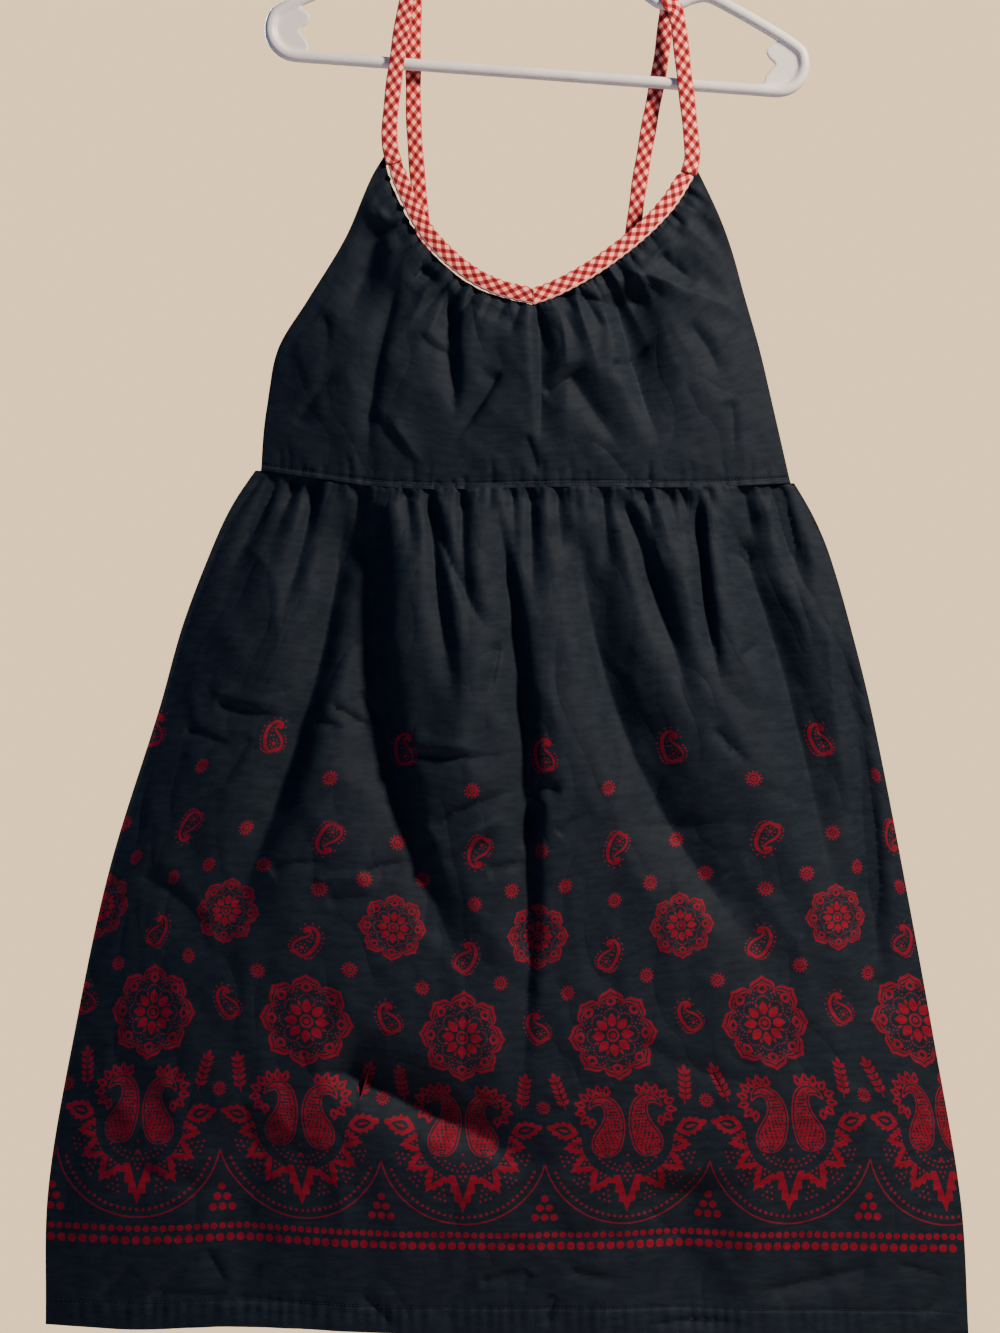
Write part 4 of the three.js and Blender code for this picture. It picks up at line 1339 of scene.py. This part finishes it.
border = print_shapes()
skirt_front_piece, skirt_back_piece = (
    cloth_shell(
        name,
        surface,
        (PANEL_WIDTH, PANEL_LENGTH),
        skirt_pitch,
        SKIRT_FINE,
        skirt_lining_pitch,
        [navy_cotton, red_print],
        border,
    )
    for name, surface in (("skirt_front_cloth", front_skirt), ("skirt_back_cloth", back_skirt))
)
bodice_cut = (BODICE_WIDTH, BODICE_LENGTH)
bodice_front_piece = cloth_shell(
    "bodice_front_cloth", front_bodice, bodice_cut, lambda y: 2.6, BODICE_FINE, lambda y: 4.5, [navy_cotton]
)
bodice_back_piece = cloth_shell(
    "bodice_back_cloth", back_bodice, bodice_cut, lambda y: 4.5, SKIRT_FINE, lambda y: 7, [navy_cotton]
)


# Binding and straps


def neck_binding():
    """The binding round the scoop, with a notch at its point. It is narrower where a strap is sewn on."""
    steps = 260
    u = np.linspace(0, 1, steps)
    edge, inward = neck_at(u)
    along = u * neck_length
    out = bodice_front(edge[:, 1]) + BINDING_LIFT
    middles = np.stack([edge[:, 0], -out, WAIST_Z + edge[:, 1]], axis=1)
    across = np.stack([inward[:, 0], np.zeros(steps), inward[:, 1]], axis=1)
    middles += across * BINDING_WIDTH / 2
    outward = np.tile((0.0, -1.0, 0.0), (steps, 1))
    notch = bell(along, along[np.argmin(np.abs(edge[:, 0] - NECK_CENTRE))], 2.6)
    under_strap = 1 - ease(np.minimum(along, neck_length - along), 3, 16)
    low = BINDING_WIDTH / 2 + 0.25 * np.sin(along * 0.9)
    high = BINDING_WIDTH / 2 + 0.45 * np.sin(along * 0.83 + 1) - 2 * notch - 3 * under_strap
    # Its lower folded edge takes the pale painted highlight.
    return tape(
        "neck_binding_tape",
        middles,
        across,
        outward,
        (low, high),
        BINDING_THICKNESS,
        [check_cotton, edge_highlight_paint],
        painted_highlight_edge=True,
    )


def on_hanger(x, rise):
    """A place on the tilted hanger, from x and the rise above its bar."""
    c, s = math.cos(HANGER_TILT), math.sin(HANGER_TILT)
    z = BAR_Z + rise
    return np.array([x * c + z * s, 0, -x * s + z * c])


def strap(name, side, back_places, front_places):
    """A strap from the back bodice, over the hanger's notch, to the end of the neck binding."""
    lift = TUBE_RADIUS + STRAP_GAP + STRAP_THICKNESS / 2
    notch = on_hanger(side * NOTCH_X, NOTCH_RISE)
    turn = np.radians(np.linspace(0, 180, 9))
    over = notch + np.stack([np.zeros(len(turn)), lift * np.cos(turn), lift * np.sin(turn)], axis=1)
    places = np.concatenate([np.array(back_places, float), over, np.array(front_places, float)])
    steps = 240
    middles = smooth_line(places, steps)
    run = unit(np.gradient(middles, axis=0))
    across = square_to(np.tile((1.0, 0.0, 0.0), (steps, 1)), run)
    outward = np.cross(run, across)
    step = np.arange(steps)
    half = STRAP_WIDTH / 2 + 0.2 * np.sin(step * 0.31) + 0.6 * ease(step, steps - 10, steps)
    return tape(name, middles, across, outward, (half, half), STRAP_THICKNESS, [check_cotton])


STRAP_LEFT_BACK = [
    (-90.5, 11, -421),
    (-97, 10.5, -350),
    (-103, 9.5, -279),
    (-106, 9, -247),
    (-108, 8.6, -215),
    (-108.6, 8.2, -176),
]
STRAP_LEFT_FRONT = [
    (-113, -7, -122),
    (-120.5, -7.6, -168),
    (-126, -8.8, -215),
    (-126, -10.8, -236),
    (-122.6, -12.6, -250),
]
STRAP_RIGHT_BACK = [
    (41, 11, -421),
    (55, 10.5, -350),
    (63.2, 9.8, -303),
    (68.3, 9.4, -264),
    (76.4, 8.8, -215),
    (85, 8.2, -168),
]
STRAP_RIGHT_FRONT = [
    (96, -7, -130),
    (102.5, -7.6, -180),
    (107.5, -9, -226),
    (108.5, -11, -245),
    (105.6, -13, -258),
]
binding_piece = neck_binding()
strap_left_piece = strap("strap_left_tape", -1, STRAP_LEFT_BACK, STRAP_LEFT_FRONT)
strap_right_piece = strap("strap_right_tape", 1, STRAP_RIGHT_BACK, STRAP_RIGHT_FRONT)


# Hanger


def deselect_all():
    for piece in bpy.context.selected_objects:
        piece.select_set(False)


def tube(places, radius):
    """A round rod along a smooth line, drawn as a bevelled path and made a mesh."""
    deselect_all()
    bpy.ops.curve.primitive_nurbs_path_add()
    path = bpy.context.object
    line = smooth_line(places, 8 * len(places))
    path.data.splines.clear()
    spline = path.data.splines.new("POLY")
    spline.points.add(len(line) - 1)
    for point, (x, rise) in zip(spline.points, line):
        point.co = (*on_hanger(x, rise) * MM, 1)
    path.data.bevel_depth = radius * MM
    path.data.bevel_resolution = 8
    path.data.use_fill_caps = True
    bpy.ops.object.convert(target="MESH")
    return bpy.context.object


def web(side):
    """The flat web in a rounded end, with a wavy inner edge."""
    turn = np.radians(np.linspace(-95, 80, 14))
    middle = (HALF_SPAN - END_BEND, END_BEND)
    arc = middle + (END_BEND - 2) * np.stack([np.cos(turn), np.sin(turn)], axis=1)
    wave = np.array([(184, 37), (178, 32), (181, 25), (186, 21), (182, 15), (178, 9), (180, 3)], float)
    outline = np.concatenate([arc, smooth_line(wave, 20)]) * (side, 1)
    deselect_all()
    bpy.ops.mesh.primitive_circle_add(vertices=len(outline), radius=0.01, fill_type="NGON")
    plate = bpy.context.object
    for vertex, (x, rise) in zip(plate.data.vertices, outline):
        vertex.co = (on_hanger(x, rise) - (0, WEB_THICKNESS / 2, 0)) * MM
    bpy.ops.object.mode_set(mode="EDIT")
    bpy.ops.mesh.select_all(action="SELECT")
    bpy.ops.mesh.extrude_region_move(TRANSFORM_OT_translate={"value": (0, WEB_THICKNESS * MM, 0)})
    bpy.ops.mesh.select_all(action="SELECT")
    bpy.ops.mesh.normals_make_consistent(inside=False)
    bpy.ops.object.mode_set(mode="OBJECT")
    return plate


def hanger():
    """One moulding: the bar with both arms, the hook and the two webs, melted together."""
    right = [(50, 85), (84, 67), (92, 62.3), (NOTCH_X, NOTCH_RISE), (107, 62.3), (117, 67.5)]
    right += [(129, 70), (142, 65.5), (184, 45.5)]
    for turn in np.radians(np.linspace(35, -90, 8)):
        x, rise = END_BEND * math.cos(turn), END_BEND * math.sin(turn)
        right.append((HALF_SPAN - END_BEND + x, END_BEND + rise))
    right += [(170, 0), (150, 0), (0, 0)]
    left = [(-x, rise) for x, rise in right]
    middle = HOOK_RADIUS - BAR_Z - HOOK_BEND
    bend = [
        (HOOK_BEND * math.cos(turn), middle + HOOK_BEND * math.sin(turn))
        for turn in np.radians((-10, 30, 70, 110, 150, 190))
    ]
    stem = [(0, NECK_RISE), (0, NECK_RISE + 9), (0.5, NECK_RISE + 14), (14, middle - 21)]
    parts = [
        tube(left[::-1] + [(0, NECK_RISE)] + right, TUBE_RADIUS),
        tube(stem + bend, HOOK_RADIUS),
        web(-1),
        web(1),
    ]
    deselect_all()
    for part in parts:
        part.select_set(True)
    bpy.context.view_layer.objects.active = parts[0]
    bpy.ops.object.join()
    piece = bpy.context.object
    piece.name = "moulded_hanger"
    piece.data.name = "moulded_hanger"
    for kind, settings in (
        ("REMESH", {"mode": "VOXEL", "voxel_size": 1.1 * MM}),
        ("SMOOTH", {"factor": 0.5, "iterations": 8}),
    ):
        modifier = piece.modifiers.new(kind.lower(), kind)
        for key, value in settings.items():
            setattr(modifier, key, value)
        bpy.ops.object.modifier_apply(modifier=modifier.name)
    bpy.ops.object.shade_smooth()
    piece.data.materials.clear()
    piece.data.materials.append(white_plastic)
    return piece


hanger_piece = hanger()


# Stitching


def stitch_row(name, surface, width, height, stitch):
    """Stitches along a level line of a panel's flat cloth."""
    pitch, length = stitch
    x = np.arange(STITCH_INSET, width - STITCH_INSET, pitch)
    flat = np.stack([x, np.full(len(x), height)], axis=1)
    middles = surface(flat)
    along = unit(np.gradient(middles, axis=0))
    outward = square_to(surface_normals(surface, flat, middles), along)
    return stitches(name, middles + outward * STITCH_LIFT, along, outward, length, [navy_thread])


hem_front_stitches = stitch_row("hem_front_stitches", front_skirt, PANEL_WIDTH, HEM_DEPTH, HEM_STITCH)
hem_back_stitches = stitch_row("hem_back_stitches", back_skirt, PANEL_WIDTH, HEM_DEPTH, HEM_STITCH)
waist_front_stitches = stitch_row(
    "waist_front_stitches", front_bodice, BODICE_WIDTH, WAIST_STITCH, FINE_STITCH
)
back_edge_stitches = stitch_row("back_edge_stitches", back_bodice, BODICE_WIDTH, BACK_STITCH, FINE_STITCH)


# How the pieces belong to the part


HANGER_NODES = ["hanger_bar", "hanger_arms", "hanger_hook", "hanger_web_left", "hanger_web_right"]
PIECES = [
    (skirt_front_piece, "cotton", ["skirt_front"]),
    (skirt_back_piece, "cotton", ["skirt_back"]),
    (bodice_front_piece, "cotton", ["bodice_front"]),
    (bodice_back_piece, "cotton", ["bodice_back"]),
    (binding_piece, "gingham", ["neck_binding"]),
    (strap_left_piece, "gingham", ["strap_left"]),
    (strap_right_piece, "gingham", ["strap_right"]),
    (hanger_piece, "white_plastic", HANGER_NODES),
    (hem_front_stitches, "cotton", []),
    (hem_back_stitches, "cotton", []),
    (waist_front_stitches, "cotton", []),
    (back_edge_stitches, "cotton", []),
]
for piece, slot, nodes in PIECES:
    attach(piece, "root")
    if nodes:
        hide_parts(*nodes)


# Camera, light and floor


SENSOR = 36  # millimetres, along the longer side of the picture


def aim(thing, place, target):
    """Puts a camera or a light at a place, turned towards a target."""
    thing.location = place
    thing.rotation_euler = (Vector(target) - Vector(place)).to_track_quat("-Z", "Y").to_euler()


camera_data = bpy.data.cameras.new("camera")
camera_data.sensor_width = SENSOR
camera_data.lens = SENSOR * VIEW_DISTANCE / VIEW_HEIGHT
camera = bpy.data.objects.new("camera", camera_data)
bpy.context.collection.objects.link(camera)
eye_x, eye_z = EYE_X * MM, (WAIST_Z + EYE_H) * MM
aim(camera, (eye_x, -VIEW_DISTANCE, eye_z), (eye_x, 0, eye_z))
bpy.context.scene.camera = camera


def area_light(name, place, target, size, power, code):
    """A round soft light, in metres and watts."""
    data = bpy.data.lights.new(name, "AREA")
    data.shape = "DISK"
    data.size = size
    data.energy = power
    data.color = colour(code)[:3]
    light = bpy.data.objects.new(name, data)
    bpy.context.collection.objects.link(light)
    aim(light, place, target)


SKIRT_MIDDLE = (-0.05, 0, -0.7)
WAIST_MIDDLE = (-0.05, 0, -0.6)
area_light("key_light", (1.28, -1.0, 0.66), SKIRT_MIDDLE, 0.3, 101, "#ffe9d2")
area_light("fill_light", (-1.6, -1.7, -0.3), SKIRT_MIDDLE, 1.6, 7, "#93b0fa")
area_light("back_light", (-0.9, 1.7, 0.5), WAIST_MIDDLE, 1.0, 75, "#fff4e6")

# The pale backdrop shows at full strength, but lights the cloth softly so that its folds keep their depth.
world = bpy.data.worlds.new("pale_studio")
world.use_nodes = True
world.node_tree.nodes.clear()
seen = add_node(world, "ShaderNodeLightPath").outputs["Is Camera Ray"]
strength = add_node(world, "ShaderNodeMapRange", {"Value": seen, "To Min": 0.2, "To Max": 2.0})
tint = add_node(
    world,
    "ShaderNodeMixRGB",
    {"Fac": seen, "Color1": colour("#7d9bdf"), "Color2": colour("#e6c69a")},
)
background = add_node(
    world,
    "ShaderNodeBackground",
    {"Color": tint.outputs["Color"], "Strength": strength.outputs["Result"]},
)
add_node(world, "ShaderNodeOutputWorld", {"Surface": background.outputs["Background"]})
bpy.context.scene.world = world

deselect_all()
FLOOR_RADIUS = 1.9
FLOOR_Z = -1.85
bpy.ops.mesh.primitive_circle_add(
    vertices=96, radius=FLOOR_RADIUS, fill_type="NGON", location=(0, 0, FLOOR_Z)
)
floor = bpy.context.object
floor.name = "floor"
floor_paint = new_material("pale_floor")
floor_look = {"Base Color": colour("#e4dbd0"), "Roughness": 0.9}
floor_shader = add_node(floor_paint, "ShaderNodeBsdfPrincipled", floor_look)
add_node(floor_paint, "ShaderNodeOutputMaterial", {"Surface": floor_shader.outputs["BSDF"]})
floor.data.materials.append(floor_paint)
